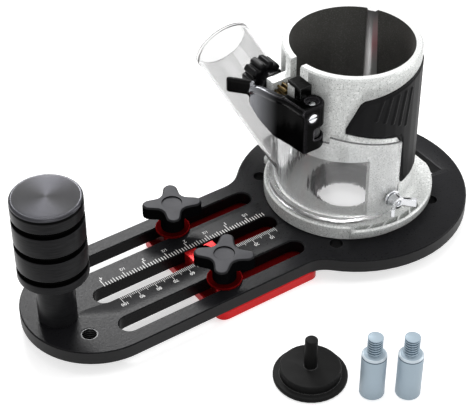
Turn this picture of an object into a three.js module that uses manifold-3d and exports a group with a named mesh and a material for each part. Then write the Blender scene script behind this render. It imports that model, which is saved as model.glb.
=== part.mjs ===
// Trim router base on a slotted guide plate, with its sliding fence, clamp knobs, dust cover and loose pins.
// Millimetres, +Z up. The plate's long axis is X, the router's bore stands at X = 0, Y = 0.
import * as THREE from 'three';
import { mergeVertices } from 'three/addons/utils/BufferGeometryUtils.js';
import Module from 'manifold-3d';

const wasm = await Module();
wasm.setup();

// Shared clearances
const gap = 0.3;                 // running gap between pieces that meet
const overrun = 1;               // how far a cutter passes its face
const fit = 0.3;                 // radial play of a pin in its hole

// Guide plate
const plateThickness = 8;
const plateChamfer = 0.6;
const headRadius = 63;
const headOffset = 4.2;          // head centre ahead of the bore
const armHalfWidth = 38.4;
const armReach = 156.5;          // bore to the centre of the round end
const neckFillet = 16;
const slotWidth = 10.6;
const slotPitch = 24.34;
const slotNear = 51.6;           // bore to the centre of the near slot end
const slotInset = 4.8;           // far slot end inside the centre of the round end
const slotFar = armReach - slotInset;
const bitOpeningRadius = 15.5;
const extraHoleRadius = 3.75;
const extraHoleX = 32;
const extraHoleY = 34.5;
const viewWindowStart = 36;
const viewWindowEnd = 54.3;
const viewWindowWidth = 34;
const threadHoleRadius = 4.4;
const threadHoleReach = 15.3;    // beyond the centre of the round end
const threadHoleX = -(armReach + threadHoleReach);
const threadHoleY = 19.7;
const threadPitch = 1.5;
const threadDepth = 0.55;
const threadTurns = 4;
const threadHoleMouth = 0.5;

// Sliding fence plate under the arm
const fenceThickness = 6;
const fenceLength = 62;
const fenceHalfWidth = 38;
const fenceCorner = 5;
const fenceChamfer = 0.7;
const fenceFar = 106.8;          // bore to the far end of the fence plate
const studX = -95.5;             // place of both clamp studs
const studRadius = 3;
const studHeadRadius = 6.5;
const studHeadHeight = 2.4;
const studHeadInset = 0.5;
const studReach = 12;            // stud above the plate's top
const guideBossRadius = 5;
const guideBossHeight = 6;

// Cursor in the middle slot
const cursorFar = 100.8;
const cursorLength = 17.4;
const cursorHalfWidth = 5;
const cursorDrop = 0.4;          // cursor top below the plate's top
const cursorPocketRadius = 4.5;
const cursorPocketDepth = 2.2;
const cursorScrewRadius = 1.5;
const cursorHeadRadius = 4;
const cursorHeadHeight = 1.4;
const cursorScrewBite = 4;
const cursorHexRadius = 1.5;
const cursorHexDepth = 0.8;

// Star knobs
const starTipRadius = 15.5;
const starLobeHalfWidth = 3.8;
const starWaistRadius = 8.2;
const starHeight = 8;
const starTop = 17.6;            // knob's top above the plate's top
const starValleyTrimAngle = 5;   // degrees left off each end of a valley's arc
const starEdge = 0.8;
const starHubRadius = 6.2;
const starRecessRadius = 5.3;
const starRecessDepth = 0.8;
const starBackAngle = 62;        // degrees from X to a lobe
const starFrontAngle = 49.5;     // degrees from X to a lobe
const washerRadius = 9.2;
const washerThickness = 1.2;

// Handle
const handleInset = 16.8;        // handle inside the plate's far end
const handleX = -(armReach + armHalfWidth - handleInset);
const postRadius = 9.7;
const postHeight = 28.5;
const knobRadius = 17.5;
const knobHeight = 47;
const knobEdge = 1.4;
const grooveDepth = 1.8;
const grooveWidth = 3.2;
const grooveLow = 5.5;           // knob's underside to the first groove
const groovePitch = 14.7;
const grooveCount = 3;
const knobBoreRadius = 4;
const knobBoreDepth = 30;
const handleScrewRadius = 3.7;
const handleScrewHeadRadius = 7.5;
const handleScrewHeadHeight = 4;
const handleScrewReach = 52;     // screw above the plate's top
const handleSocketRadius = 2.9;
const handleSocketDepth = 2.5;

// Router casting
const boreRadius = 32.3;
const tubeWall = 3.7;
const tubeRadius = boreRadius + tubeWall;
const tubeHeight = 95.5;
const rimChamfer = 0.8;
const flangeOverhang = 8;        // flange beyond the tube
const flangeRadius = tubeRadius + flangeOverhang;
const flangeHeight = 8.5;
const flangeFlatCut = 0.7;
const flangeFlat = flangeRadius - flangeFlatCut;   // bore to the flat side of the flange
const flangeEdge = 0.8;
const floorThickness = 4;
const floorOpeningRadius = 20;
const rootFillet = 5;
const filletMarginAngle = 1.6;   // degrees between the fillet and the dust cover
const windowDrop = 50;           // window's top edge below the tube's top
const windowTop = tubeHeight - windowDrop;
const windowHalfAngle = 70;      // degrees each side of the arm's direction
const splitWidth = 8;
const keyAngle = 33;             // degrees from X
const keyCrestHalf = 2;
const keyRootHalf = 4;
const keyDepth = 2;
const keyFlare = 2.1;            // how much wider one side of the key is at its foot
const keySlice = 0.5;
const skirtOverhang = 3;         // wide skirt of the flange beside the dust cover
const skirtRadius = flangeRadius + skirtOverhang;
const skirtHalfAngle = 124;      // degrees each side of +X
const skirtDrop = 4.5;           // height of the skirt's upright wall, from the flange's top
const skirtTaper = 2.5;
const skirtWall = 1.3;
const pocketReach = 4;
const pocketInner = skirtRadius - pocketReach;
const pocketDepth = 3.6;
const pocketFirstAngle = 237;    // degrees
const pocketPitchAngle = 11;     // degrees
const pocketWebAngle = 1.6;      // degrees
const pocketLeanAngle = 4;       // degrees
const pocketCount = 5;
const baseScrewX = 27;
const baseScrewY = 27;
const baseScrewRadius = 2.5;
const baseScrewHeadRadius = 4.6;
const baseScrewHeadHeight = 2.6;
const baseScrewBite = 6;
const baseSocketRadius = 1.6;
const baseSocketDepth = 1.5;

// Clamp ears and the bolt between them, and the depth shaft above the bolt
const clampDrop = 28;            // bolt below the tube's top
const clampOffset = 2.5;         // bolt outside the tube's face
const depthRise = 11.5;          // depth shaft above the bolt
const depthOffset = 5.4;         // depth shaft outside the tube's face
const clampBoltZ = tubeHeight - clampDrop;
const clampX = -(tubeRadius + clampOffset);
const depthX = -(tubeRadius + depthOffset);
const depthZ = clampBoltZ + depthRise;
const clampBoltRadius = 2.6;
const earThickness = 5.4;
const earSkirt = 4.3;            // ear below the bolt
const earOffset = 7.2;           // ear outside the tube's face
const earRootBite = 2.5;
const backEarRise = 6;           // ear above the depth shaft
const backEarLipReach = 3.2;
const backEarLipDrop = 8.5;
const frontEarRise = 9.4;
const earBottom = clampBoltZ - earSkirt;
const earReach = tubeRadius + earOffset;
const earRoot = tubeRadius - earRootBite;
const backEarTop = depthZ + backEarRise;
const backEarLip = earReach + backEarLipReach;
const backEarLipBottom = depthZ - backEarLipDrop;
const frontEarTop = depthZ + frontEarRise;
const eyeRadius = 4.6;
const eyeHeight = 6;
const nutRadius = 4.4;            // over the nut's corners
const nutThickness = 4;
const boltTail = 1.5;

// Cam lever
const leverDrop = 10;            // below the bolt
const leverRise = 16.5;          // above the bolt
const leverClear = 1.9;          // tall part outside the ears
const leverThickness = 4.3;
const leverHubRadius = 6.2;
const leverStartAngle = 204;     // degrees
const leverTallEndAngle = 187;   // degrees
const leverEdge = 0.8;
const heelRootAngle = 196;       // degrees
const heelFlare = 1.6;           // corner outside the tall part's end
const leverBottom = clampBoltZ - leverDrop;
const leverTop = clampBoltZ + leverRise;
const leverInner = earReach + leverClear;
const leverOuter = leverInner + leverThickness;

// Arm of the lever: it passes outside the back ear, then flares past the collar of the depth shaft
const armRootAngle = 190;        // degrees, inside the tall part
const armClear = 0.7;            // outside the back ear's lip
const armFlareClear = 0.8;       // outside the collar
const armThickness = 2.9;
const armEndClear = 1.3;         // end to the depth knob's face
const armEndFlare = 1.6;
const armTopDrop = 2.6;          // below the lever's top
const armTipDrop = 6.6;
const armTipLength = 3.4;
const armRise = 5.2;             // lower edge at the back ear's face
const armTipRise = 12.6;         // lower edge at the end
const paddleReach = 12.3;
const paddleThickness = 2.8;
const paddleDrop = 0.7;          // below the lever's top
const paddleHeight = 8.7;
const paddleTop = leverTop - paddleDrop;
const paddleFacing = 130.5;      // degrees
const pivotPinRadius = 2;
const pivotCounterRadius = 3.4;
const pivotCounterDepth = 1.5;
const setScrewRadius = 2.5;
const setScrewOffset = 3.7;      // outside the pivot
const setScrewDrop = 5.8;        // below the lever's top
const setScrewX = clampX - setScrewOffset;
const setScrewZ = leverTop - setScrewDrop;
const setScrewLength = 3.2;
const setScrewSlot = 0.9;

// Clamp pad on the front ear, and the pivot that presses on it
const padThickness = 1.8;
const padCapRise = 2.2;          // cap above the front ear
const padCapHeight = 6;
const padReach = 14.6;
const padCapTop = frontEarTop + padCapRise;
const padCapBottom = padCapTop - padCapHeight;
const pivotY = -(splitWidth / 2 + earThickness + gap + padThickness + gap + leverHubRadius);

// Depth knob, shaft and pinion
const depthShaftRadius = 2;
const pinionRootRadius = 3.6;
const pinionTipRadius = 5.2;
const pinionHalfLength = 3.2;
const pinionTeeth = 10;
// Corners of a tooth, as shares of its pitch and of its height
const toothShares = [[0, 0], [0.25, 0], [0.45, 1], [0.8, 1]];
const collarRadius = 5.6;
const collarLength = 6;
const collarFlange = 1.2;
const depthKnobRadius = 9.4;
const depthKnobLength = 10;
const depthKnobScallops = 10;
const depthKnobScallopDepth = 1.7;
const depthKnobEdge = 0.8;
const landHalfShare = 0.3;       // shares of the pitch taken by a land and its scallop
const scallopFromShare = 0.42;
const scallopToShare = 0.58;

// Rubber grips
const gripRecess = 1.6;          // depth of the recess in the tube
const gripProud = 0.2;           // border above the tube's face
const gripRaise = 0.5;           // middle above the border
const gripBorder = 3.2;          // height of a corner's cut
const gripBorderAngle = 3.2;     // degrees of a corner's cut
const gripLowEdge = 22.5;
const gripTopDrop = 5.5;         // below the tube's top
const gripFrontDrop = 7.6;
const gripTipDrop = 27;
const gripTipHeight = 3;
const gripSkirtDrop = 35.5;
const gripTopBack = tubeHeight - gripTopDrop;
const gripTopFront = gripTopBack - gripFrontDrop;
const gripTipLow = gripTopBack - gripTipDrop;
const gripTipHigh = gripTipLow + gripTipHeight;
const gripSkirtTop = gripTopBack - gripSkirtDrop;
const gripTipAngle = 229;        // degrees
const gripShoulderAngle = 240;   // degrees
const gripSkirtAngle = 279;      // degrees
const gripBackAngle = 326;       // degrees
const ribCount = 5;
const ribHalfAngle = 0.9;        // degrees
const ribRaise = 0.6;
const ribDrop = 20;              // below the grip's top
const ribHeight = 12;
const ribLow = gripTopBack - ribDrop;
const ribHigh = ribLow + ribHeight;
const ribLeanAngle = 5;          // degrees
const ribFirstAngle = 253;       // degrees
const ribPitchAngle = 7.5;       // degrees

// Clear dust cover and its pipe
const coverClear = 0.4;          // between the tube and the cover
const coverWall = 2.1;
const coverInner = tubeRadius + coverClear;
const coverOuter = coverInner + coverWall;
const coverHalfAngle = 97;       // degrees each side of the arm's direction
const coverLipInset = 1.6;       // wide lip inside the flange's edge
const coverLipStep = 1.5;
const coverLipHeight = 2.6;
const coverLipRadius = flangeRadius - coverLipInset;
const coverLipInner = coverOuter + coverLipStep;
const coverLipAngle = 232;       // degrees where the wide lip ends
const coverNotchFromAngle = 188; // degrees of the notch that clears the lever's hub
const coverNotchToAngle = 217;   // degrees
const coverOverlap = 8.3;        // sloping top edge above the window, at X = 0
const coverTop = windowTop + coverOverlap;
const coverTopSlopeShare = 0.23;
const pipeRadius = 16.5;
const pipeWall = 1.7;
const pipeX = -20;
const pipeY = 30;
const pipeZ = 31;
const pipeRiseAngle = 20.5;      // degrees above level
const pipeLength = 62.5;
const pipeLipThickness = 0.8;
const pipeLipLength = 2;

// Wing screw that holds the cover
const wingX = 0;
const wingZ = 19;
const wingShankRadius = 1.9;
const wingShankBite = 4.6;
const wingHubRadius = 3.6;
const wingHubLength = 5;
const wingSpan = 8.8;
const wingFlare = 5.6;
const wingThickness = 1.6;
const wingHeight = 4.6;
const wingSocketRadius = 1.6;
const wingSocketDepth = 1.2;
const wingWasherRadius = 4.6;
const wingWasherThickness = 0.8;

// Loose centring disc and guide pins
const discX = -91.8;
const discY = -92.7;
const discRadius = 18.3;
const discThickness = 2.6;
const discStepRadius = 15;
const discStepHeight = 4.6;
const discStemRadius = 3.175;
const discStemHeight = 17.7;
const discEdge = 0.5;
const pinBackX = -73.7;
const pinBackY = -117.7;
const pinFrontX = -59.5;
const pinFrontY = -127.5;
const pinRadius = 6.1;
const pinHeight = 26;
const pinChamfer = 0.8;
const pinNeckRadius = 3.1;
const pinNeckHeight = 1.2;
const pinThreadRadius = 3.75;
const pinThreadHeight = 10.6;
const pinThreadChamfer = 0.6;

// Number of flats on round stretches
const fineSides = 72;
const roundSides = 36;
const smallSides = 20;
const tinySides = 12;
const cornerSteps = 6;
const coarseSteps = 4;

// Heights worked out from the sizes above
const plateBottom = fenceThickness + gap;
const plateTop = plateBottom + plateThickness;
const degree = Math.PI / 180;
const armDirection = 180;
const leverFace = leverHubRadius - pivotY;

const blackAnodised = { color: 0x17181b, roughness: 0.42, metalness: 0.75 };
const blackPlastic = { color: 0x1b1b1d, roughness: 0.5, metalness: 0 };
const redAnodised = { color: 0xb3161b, roughness: 0.35, metalness: 0.7 };
const castAluminium = { color: 0xc6c9c6, roughness: 0.5, metalness: 0.85 };
const rubber = { color: 0x18181a, roughness: 0.75, metalness: 0 };
const steel = { color: 0xb9bec4, roughness: 0.28, metalness: 1 };
const zincPlate = { color: 0xa9bac8, roughness: 0.35, metalness: 0.9 };
const brass = { color: 0xb08a45, roughness: 0.35, metalness: 0.95 };
const clearPlastic = { color: 0xf2f4f4, roughness: 0.1, metalness: 0, transparent: true, opacity: 0.35 };

const whole = new THREE.Group();
const onPlate = new THREE.Group();
onPlate.position.z = plateTop;
whole.add(onPlate);

// Turns a closed geometry into a solid, with shared corners merged and faces pointing out.
function toSolid(geometry) {
  const bare = geometry.index ? geometry.toNonIndexed() : geometry.clone();
  bare.deleteAttribute('normal');
  bare.deleteAttribute('uv');
  const merged = mergeVertices(bare);
  const corners = merged.attributes.position.array;
  const triangles = [];
  let volume = 0;
  const a = new THREE.Vector3();
  const b = new THREE.Vector3();
  const c = new THREE.Vector3();
  for (let i = 0; i < merged.index.count; i += 3) {
    const [p, q, r] = [merged.index.getX(i), merged.index.getX(i + 1), merged.index.getX(i + 2)];
    if (p !== q && q !== r && r !== p) {
      triangles.push([p, q, r]);
      a.fromArray(corners, p * 3);
      b.fromArray(corners, q * 3);
      c.fromArray(corners, r * 3);
      volume += a.dot(b.cross(c));
    }
  }
  const order = volume > 0 ? triangles.flat() : triangles.map(([p, q, r]) => [p, r, q]).flat();
  return new wasm.Manifold(new wasm.Mesh({
    numProp: 3,
    vertProperties: new Float32Array(corners),
    triVerts: new Uint32Array(order),
  }));
}

function toGeometry(solid) {
  const mesh = solid.getMesh();
  const geometry = new THREE.BufferGeometry();
  geometry.setAttribute('position', new THREE.BufferAttribute(new Float32Array(mesh.vertProperties), 3));
  geometry.setIndex(new THREE.BufferAttribute(new Uint32Array(mesh.triVerts), 1));
  geometry.computeVertexNormals();
  return geometry;
}

function addPiece(name, solid, finish, parent = onPlate) {
  const mesh = new THREE.Mesh(toGeometry(solid), new THREE.MeshStandardMaterial(finish));
  mesh.name = name;
  parent.add(mesh);
  return mesh;
}

function arc(x, y, radius, from, to, steps) {
  const points = [];
  for (let i = 0; i <= steps; i += 1) {
    const turn = (from + (to - from) * i / steps) * degree;
    points.push(new THREE.Vector2(x + radius * Math.cos(turn), y + radius * Math.sin(turn)));
  }
  return points;
}

// A straight-sided solid on an outline, with an optional chamfer on its two ends.
function prism(outline, from, to, holes = [], chamfer = 0) {
  const shape = outline instanceof THREE.Shape ? outline : new THREE.Shape(outline);
  shape.holes = holes;
  const geometry = new THREE.ExtrudeGeometry(shape, {
    depth: to - from - 2 * chamfer,
    bevelEnabled: chamfer > 0,
    bevelThickness: chamfer,
    bevelSize: chamfer,
    bevelOffset: -chamfer,
    bevelSegments: 1,
    curveSegments: 1,
    steps: 1,
  });
  geometry.translate(0, 0, from + chamfer);
  return toSolid(geometry);
}

// A turned solid about Z from [radius, height] pairs that start and end on the axis.
function turned(profile, sides, x = 0, y = 0) {
  const geometry = new THREE.LatheGeometry(profile.map(([r, z]) => new THREE.Vector2(r, z)), sides);
  geometry.rotateX(Math.PI / 2);
  geometry.translate(x, y, 0);
  return toSolid(geometry);
}

function disc(radius, from, to, sides, x = 0, y = 0, edge = 0) {
  const rim = edge > 0
    ? [[radius - edge, from], [radius, from + edge], [radius, to - edge], [radius - edge, to]]
    : [[radius, from], [radius, to]];
  return turned([[0, from], ...rim, [0, to]], sides, x, y);
}

function block(x0, x1, y0, y1, z0, z1) {
  const geometry = new THREE.BoxGeometry(x1 - x0, y1 - y0, z1 - z0);
  geometry.translate((x0 + x1) / 2, (y0 + y1) / 2, (z0 + z1) / 2);
  return toSolid(geometry);
}

// A round bar whose axis runs along Y.
function bar(radius, x, z, from, to, sides) {
  const geometry = new THREE.CylinderGeometry(radius, radius, to - from, sides);
  geometry.translate(x, (from + to) / 2, z);
  return toSolid(geometry);
}

// A closed slice of a ring between two angles.
function sector(inner, outer, from, to, z0, z1, steps) {
  const rim = arc(0, 0, outer, from, to, steps);
  const core = inner > 0 ? arc(0, 0, inner, to, from, steps) : [new THREE.Vector2(0, 0)];
  return prism([...rim, ...core], z0, z1);
}

function hexSocket(x, y, radius, z0, z1) {
  return prism(arc(x, y, radius, 0, 360, 6).slice(0, -1), z0, z1);
}

function slotPath(y) {
  const half = slotWidth / 2;
  return new THREE.Path([
    ...arc(-slotFar, y, half, 90, 270, smallSides / 2),
    ...arc(-slotNear, y, half, -90, 90, smallSides / 2),
  ]);
}

// Paddle outline: round head, concave necks, straight arm and round end.
function plateOutline() {
  const neckY = armHalfWidth + neckFillet;
  const neckX = headOffset - Math.sqrt((headRadius + neckFillet) ** 2 - neckY ** 2);
  const meet = Math.atan2(neckY, neckX - headOffset) / degree;
  return [
    ...arc(headOffset, 0, headRadius, -meet, meet, fineSides - smallSides),
    ...arc(neckX, neckY, neckFillet, meet - 180, -90, cornerSteps).slice(1),
    ...arc(-armReach, 0, armHalfWidth, 90, 270, roundSides),
    ...arc(neckX, -neckY, neckFillet, 90, 180 - meet, cornerSteps).slice(0, -1),
  ];
}

function rectanglePath(x0, x1, y0, y1) {
  return new THREE.Path([
    new THREE.Vector2(x0, y0), new THREE.Vector2(x1, y0),
    new THREE.Vector2(x1, y1), new THREE.Vector2(x0, y1),
  ]);
}

function makePlate() {
  const holes = [
    ...[-slotPitch, 0, slotPitch].map(slotPath),
    rectanglePath(viewWindowStart, viewWindowEnd, -viewWindowWidth / 2, viewWindowWidth / 2),
  ];
  let plate = prism(plateOutline(), -plateThickness, 0, holes, plateChamfer);
  plate = plate.subtract(disc(bitOpeningRadius, -plateThickness - overrun, overrun, roundSides));
  for (const sx of [-1, 1]) {
    for (const sy of [-1, 1]) {
      plate = plate.subtract(disc(extraHoleRadius, -plateThickness - overrun, overrun, tinySides,
        sx * extraHoleX, sy * extraHoleY));
      plate = plate.subtract(turned([
        [0, -plateThickness - overrun],
        [baseScrewHeadRadius + fit, -plateThickness - overrun],
        [baseScrewHeadRadius + fit, -plateThickness + baseScrewHeadHeight + fit],
        [baseScrewRadius + fit, -plateThickness + baseScrewHeadHeight + fit],
        [baseScrewRadius + fit, overrun],
        [0, overrun],
      ], tinySides, sx * baseScrewX, sy * baseScrewY));
    }
  }
  for (const sy of [-1, 1]) {
    plate = plate.subtract(threadedHole(threadHoleX, sy * threadHoleY));
  }
  return plate.subtract(turned([
    [0, -plateThickness - overrun],
    [handleScrewHeadRadius + fit, -plateThickness - overrun],
    [handleScrewHeadRadius + fit, -plateThickness + handleScrewHeadHeight + fit],
    [handleScrewRadius + fit, -plateThickness + handleScrewHeadHeight + fit],
    [handleScrewRadius + fit, overrun],
    [0, overrun],
  ], smallSides, handleX, 0));
}

// A through hole whose wall carries rounded thread grooves.
function threadedHole(x, y) {
  const crest = threadHoleRadius - threadDepth;
  const profile = [[0, -plateThickness - overrun], [crest, -plateThickness - overrun]];
  const first = -plateThickness + threadHoleMouth + threadPitch / 2;
  for (let i = 0; i < threadTurns; i += 1) {
    const z = first + i * threadPitch;
    profile.push([crest, z - threadPitch / 4]);
    profile.push([threadHoleRadius, z]);
    profile.push([crest, z + threadPitch / 4]);
  }
  profile.push([crest, -threadHoleMouth - threadDepth]);
  profile.push([threadHoleRadius, -threadHoleMouth]);
  profile.push([threadHoleRadius, overrun]);
  profile.push([0, overrun]);
  return turned(profile, tinySides, x, y);
}

// The casting: tube, flange, front window, split, ears and the key in the bore.
function makeCasting() {
  let body = turned([
    [0, 0],
    [flangeRadius - flangeEdge, 0], [flangeRadius, flangeEdge],
    [flangeRadius, flangeHeight - flangeEdge], [flangeRadius - flangeEdge, flangeHeight],
    [tubeRadius, flangeHeight],
    [tubeRadius, tubeHeight - rimChamfer], [tubeRadius - rimChamfer, tubeHeight],
    [0, tubeHeight],
  ], fineSides);
  const reach = flangeRadius + overrun;
  body = body.add(skirt());
  const top = tubeHeight + overrun;
  body = body.intersect(block(-2 * reach, flangeFlat, -2 * reach, 2 * reach, -overrun, top));
  body = body.add(rootFilletSolid());
  body = body.add(earBlock(splitWidth / 2, backEarTop, earReach));
  body = body.add(block(-backEarLip, -earRoot, splitWidth / 2, splitWidth / 2 + earThickness,
    backEarLipBottom, backEarTop));
  body = body.add(earBlock(-splitWidth / 2 - earThickness, frontEarTop, earReach));
  body = body.subtract(disc(boreRadius, floorThickness, top, fineSides));
  body = body.subtract(disc(floorOpeningRadius, -overrun, floorThickness + overrun, roundSides));
  body = body.add(boreKey());
  body = body.subtract(sector(0, flangeRadius + overrun, armDirection - windowHalfAngle,
    armDirection + windowHalfAngle, flangeHeight, windowTop, smallSides));
  body = body.subtract(block(-backEarLip - overrun, -boreRadius / 2, -splitWidth / 2, splitWidth / 2,
    windowTop - overrun, tubeHeight + overrun));
  const [out, far] = [-flangeRadius, flangeRadius];
  body = body.subtract(bar(clampBoltRadius + fit, clampX, clampBoltZ, out, far, tinySides));
  body = body.subtract(bar(depthShaftRadius + fit, depthX, depthZ, out, far, tinySides));
  body = body.subtract(bar(wingShankRadius + fit, wingX, wingZ, out, -boreRadius / 2, tinySides));
  for (const sx of [-1, 1]) {
    for (const sy of [-1, 1]) {
      body = body.subtract(disc(baseScrewRadius + fit, -overrun, baseScrewBite + fit, tinySides,
        sx * baseScrewX, sy * baseScrewY));
    }
  }
  for (let i = 0; i < pocketCount; i += 1) {
    body = body.subtract(pocket(pocketFirstAngle + i * pocketPitchAngle));
  }
  for (const mirror of [false, true]) {
    const recess = grown(gripOutline(), gap);
    body = body.subtract(wrap(recess, tubeRadius - gripRecess, tubeRadius + overrun, mirror));
  }
  return body;
}

// Wide skirt round the flange's free side, upright at the top and tapering in below.
function skirt() {
  const low = flangeHeight - skirtDrop;
  const ring = turned([
    [0, low - skirtTaper], [flangeRadius - overrun, low - skirtTaper], [skirtRadius, low],
    [skirtRadius, flangeHeight - flangeEdge], [skirtRadius - flangeEdge, flangeHeight],
    [0, flangeHeight],
  ], fineSides);
  return ring.intersect(sector(0, skirtRadius + overrun, -skirtHalfAngle, skirtHalfAngle, 0,
    flangeHeight + overrun, fineSides / 2));
}

// One pocket in the skirt's top, between two leaning webs.
function pocket(from) {
  const to = from + pocketPitchAngle - pocketWebAngle;
  return prism([
    ...arc(0, 0, skirtRadius - skirtWall, from, to, coarseSteps),
    ...arc(0, 0, pocketInner, to + pocketLeanAngle, from + pocketLeanAngle, coarseSteps),
  ], flangeHeight - pocketDepth, flangeHeight + overrun);
}

function earBlock(y, top, reach) {
  return block(-reach, -earRoot, y, y + earThickness, earBottom, top);
}

// Fillet between flange and tube, only on the side that the dust cover leaves free.
function rootFilletSolid() {
  const profile = [[0, flangeHeight - overrun], [tubeRadius + rootFillet, flangeHeight - overrun]];
  const hollow = arc(tubeRadius + rootFillet, flangeHeight + rootFillet, rootFillet, 270, 180, cornerSteps);
  for (const point of hollow) {
    profile.push([point.x, point.y]);
  }
  profile.push([0, flangeHeight + rootFillet]);
  const half = armDirection - coverHalfAngle - filletMarginAngle;
  const free = sector(0, flangeRadius, -half, half, flangeHeight - overrun,
    flangeHeight + rootFillet + overrun, smallSides);
  return turned(profile, fineSides).intersect(free);
}

// Key of the bore, which widens on one side towards its foot.
function boreKey() {
  const out = boreRadius + tubeWall / 2;
  const crest = boreRadius - keyDepth;
  const along = (r, side) => new THREE.Vector2(r, side)
    .rotateAround(new THREE.Vector2(0, 0), keyAngle * degree);
  const slice = (flare, z) => prism([
    along(crest, -keyCrestHalf - flare), along(out, -keyRootHalf - flare),
    along(out, keyRootHalf), along(crest, keyCrestHalf),
  ], z, z + keySlice);
  return wasm.Manifold.hull([slice(keyFlare, windowTop), slice(0, tubeHeight - keySlice)]);
}

function makeBaseScrew(x, y) {
  return turned([
    [0, -plateThickness],
    [baseScrewHeadRadius, -plateThickness],
    [baseScrewHeadRadius, -plateThickness + baseScrewHeadHeight],
    [baseScrewRadius, -plateThickness + baseScrewHeadHeight],
    [baseScrewRadius, baseScrewBite],
    [0, baseScrewBite],
  ], smallSides, x, y).subtract(hexSocket(x, y, baseSocketRadius, -plateThickness - overrun,
    -plateThickness + baseSocketDepth));
}

// Handle: plain post, grooved knob and the long screw that holds both to the plate.
function makePost() {
  return disc(postRadius, gap, postHeight, roundSides, handleX, 0)
    .subtract(disc(handleScrewRadius + fit, -overrun, postHeight + overrun, smallSides, handleX, 0));
}

function makeHandleKnob() {
  const low = postHeight + gap;
  const high = low + knobHeight;
  const profile = [[0, low], [knobRadius - knobEdge, low], [knobRadius, low + knobEdge]];
  for (let i = 0; i < grooveCount; i += 1) {
    const z = low + grooveLow + i * groovePitch;
    const floor = knobRadius - grooveDepth;
    const slant = grooveDepth / 4;
    profile.push([knobRadius, z], [floor, z + slant]);
    profile.push([floor, z + grooveWidth - slant], [knobRadius, z + grooveWidth]);
  }
  profile.push([knobRadius, high - knobEdge], [knobRadius - knobEdge, high], [0, high]);
  return turned(profile, roundSides, handleX, 0)
    .subtract(disc(knobBoreRadius, low - overrun, low + knobBoreDepth, smallSides, handleX, 0));
}

function makeHandleScrew() {
  const screw = turned([
    [0, -plateThickness],
    [handleScrewHeadRadius, -plateThickness],
    [handleScrewHeadRadius, -plateThickness + handleScrewHeadHeight],
    [handleScrewRadius, -plateThickness + handleScrewHeadHeight],
    [handleScrewRadius, handleScrewReach],
    [0, handleScrewReach],
  ], smallSides, handleX, 0);
  return screw.subtract(hexSocket(handleX, 0, handleSocketRadius, -plateThickness - overrun,
    -plateThickness + handleSocketDepth));
}

// Fence plate, with a round guide boss in each outer slot. Heights are from the floor.
function makeFence() {
  const x0 = -fenceFar;
  const x1 = x0 + fenceLength;
  const c = fenceCorner;
  const w = fenceHalfWidth;
  let fence = prism([
    ...arc(x1 - c, -w + c, c, -90, 0, cornerSteps),
    ...arc(x1 - c, w - c, c, 0, 90, cornerSteps),
    ...arc(x0 + c, w - c, c, 90, 180, cornerSteps),
    ...arc(x0 + c, -w + c, c, 180, 270, cornerSteps),
  ], 0, fenceThickness, [], fenceChamfer);
  for (const side of [-1, 1]) {
    const y = side * slotPitch;
    fence = fence.add(disc(guideBossRadius, fenceThickness - overrun, fenceThickness + guideBossHeight,
      smallSides, studX, y));
    fence = fence.subtract(disc(studRadius + fit, -overrun, plateTop, smallSides, studX, y));
    fence = fence.subtract(disc(studHeadRadius + fit, -overrun, studHeadInset + studHeadHeight + fit,
      smallSides, studX, y));
  }
  const screwX = -cursorFar + cursorLength / 2;
  return fence.subtract(disc(cursorScrewRadius + fit, fenceThickness - cursorScrewBite - fit,
    plateTop, tinySides, screwX, 0));
}

function makeStud(y) {
  const top = plateTop + studReach;
  return turned([
    [0, studHeadInset],
    [studHeadRadius, studHeadInset],
    [studHeadRadius, studHeadInset + studHeadHeight],
    [studRadius, studHeadInset + studHeadHeight],
    [studRadius, top],
    [0, top],
  ], smallSides, studX, y);
}

function makeCursor() {
  const x0 = -cursorFar;
  const x1 = x0 + cursorLength;
  const middle = (x0 + x1) / 2;
  const top = plateTop - cursorDrop;
  return block(x0, x1, -cursorHalfWidth, cursorHalfWidth, fenceThickness + gap, top)
    .subtract(disc(cursorPocketRadius, top - cursorPocketDepth, top + overrun, smallSides, middle, 0))
    .subtract(disc(cursorScrewRadius + fit, 0, top + overrun, tinySides, middle, 0));
}

function makeCursorScrew() {
  const x = -cursorFar + cursorLength / 2;
  const seat = plateTop - cursorDrop - cursorPocketDepth + gap;
  const screw = turned([
    [0, fenceThickness - cursorScrewBite],
    [cursorScrewRadius, fenceThickness - cursorScrewBite],
    [cursorScrewRadius, seat],
    [cursorHeadRadius, seat],
    [cursorHeadRadius, seat + cursorHeadHeight],
    [0, seat + cursorHeadHeight],
  ], smallSides, x, 0);
  const face = seat + cursorHeadHeight;
  return screw.subtract(hexSocket(x, 0, cursorHexRadius, face - cursorHexDepth, face + overrun));
}

function makeWasher(y) {
  return disc(washerRadius, plateTop + gap, plateTop + gap + washerThickness, roundSides / 2, studX, y)
    .subtract(disc(studRadius + fit, plateTop - overrun, plateTop + washerThickness + overrun + gap,
      smallSides, studX, y));
}

// Star knob: four round lobes joined by concave waists, over a plain hub.
function starOutline(turn) {
  const lobe = starTipRadius - starLobeHalfWidth;
  const corner = starWaistRadius + starLobeHalfWidth * Math.SQRT2;
  const points = [];
  for (let i = 0; i < 4; i += 1) {
    const about = turn + i * 90;
    const x = lobe * Math.cos(about * degree);
    const y = lobe * Math.sin(about * degree);
    points.push(...arc(x, y, starLobeHalfWidth, about - 90, about + 90, cornerSteps));
    const cx = corner * Math.cos((about + 45) * degree);
    const cy = corner * Math.sin((about + 45) * degree);
    points.push(...arc(cx, cy, corner - starWaistRadius, about + 270 - starValleyTrimAngle,
      about + 180 + starValleyTrimAngle, coarseSteps));
  }
  return points;
}

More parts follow.
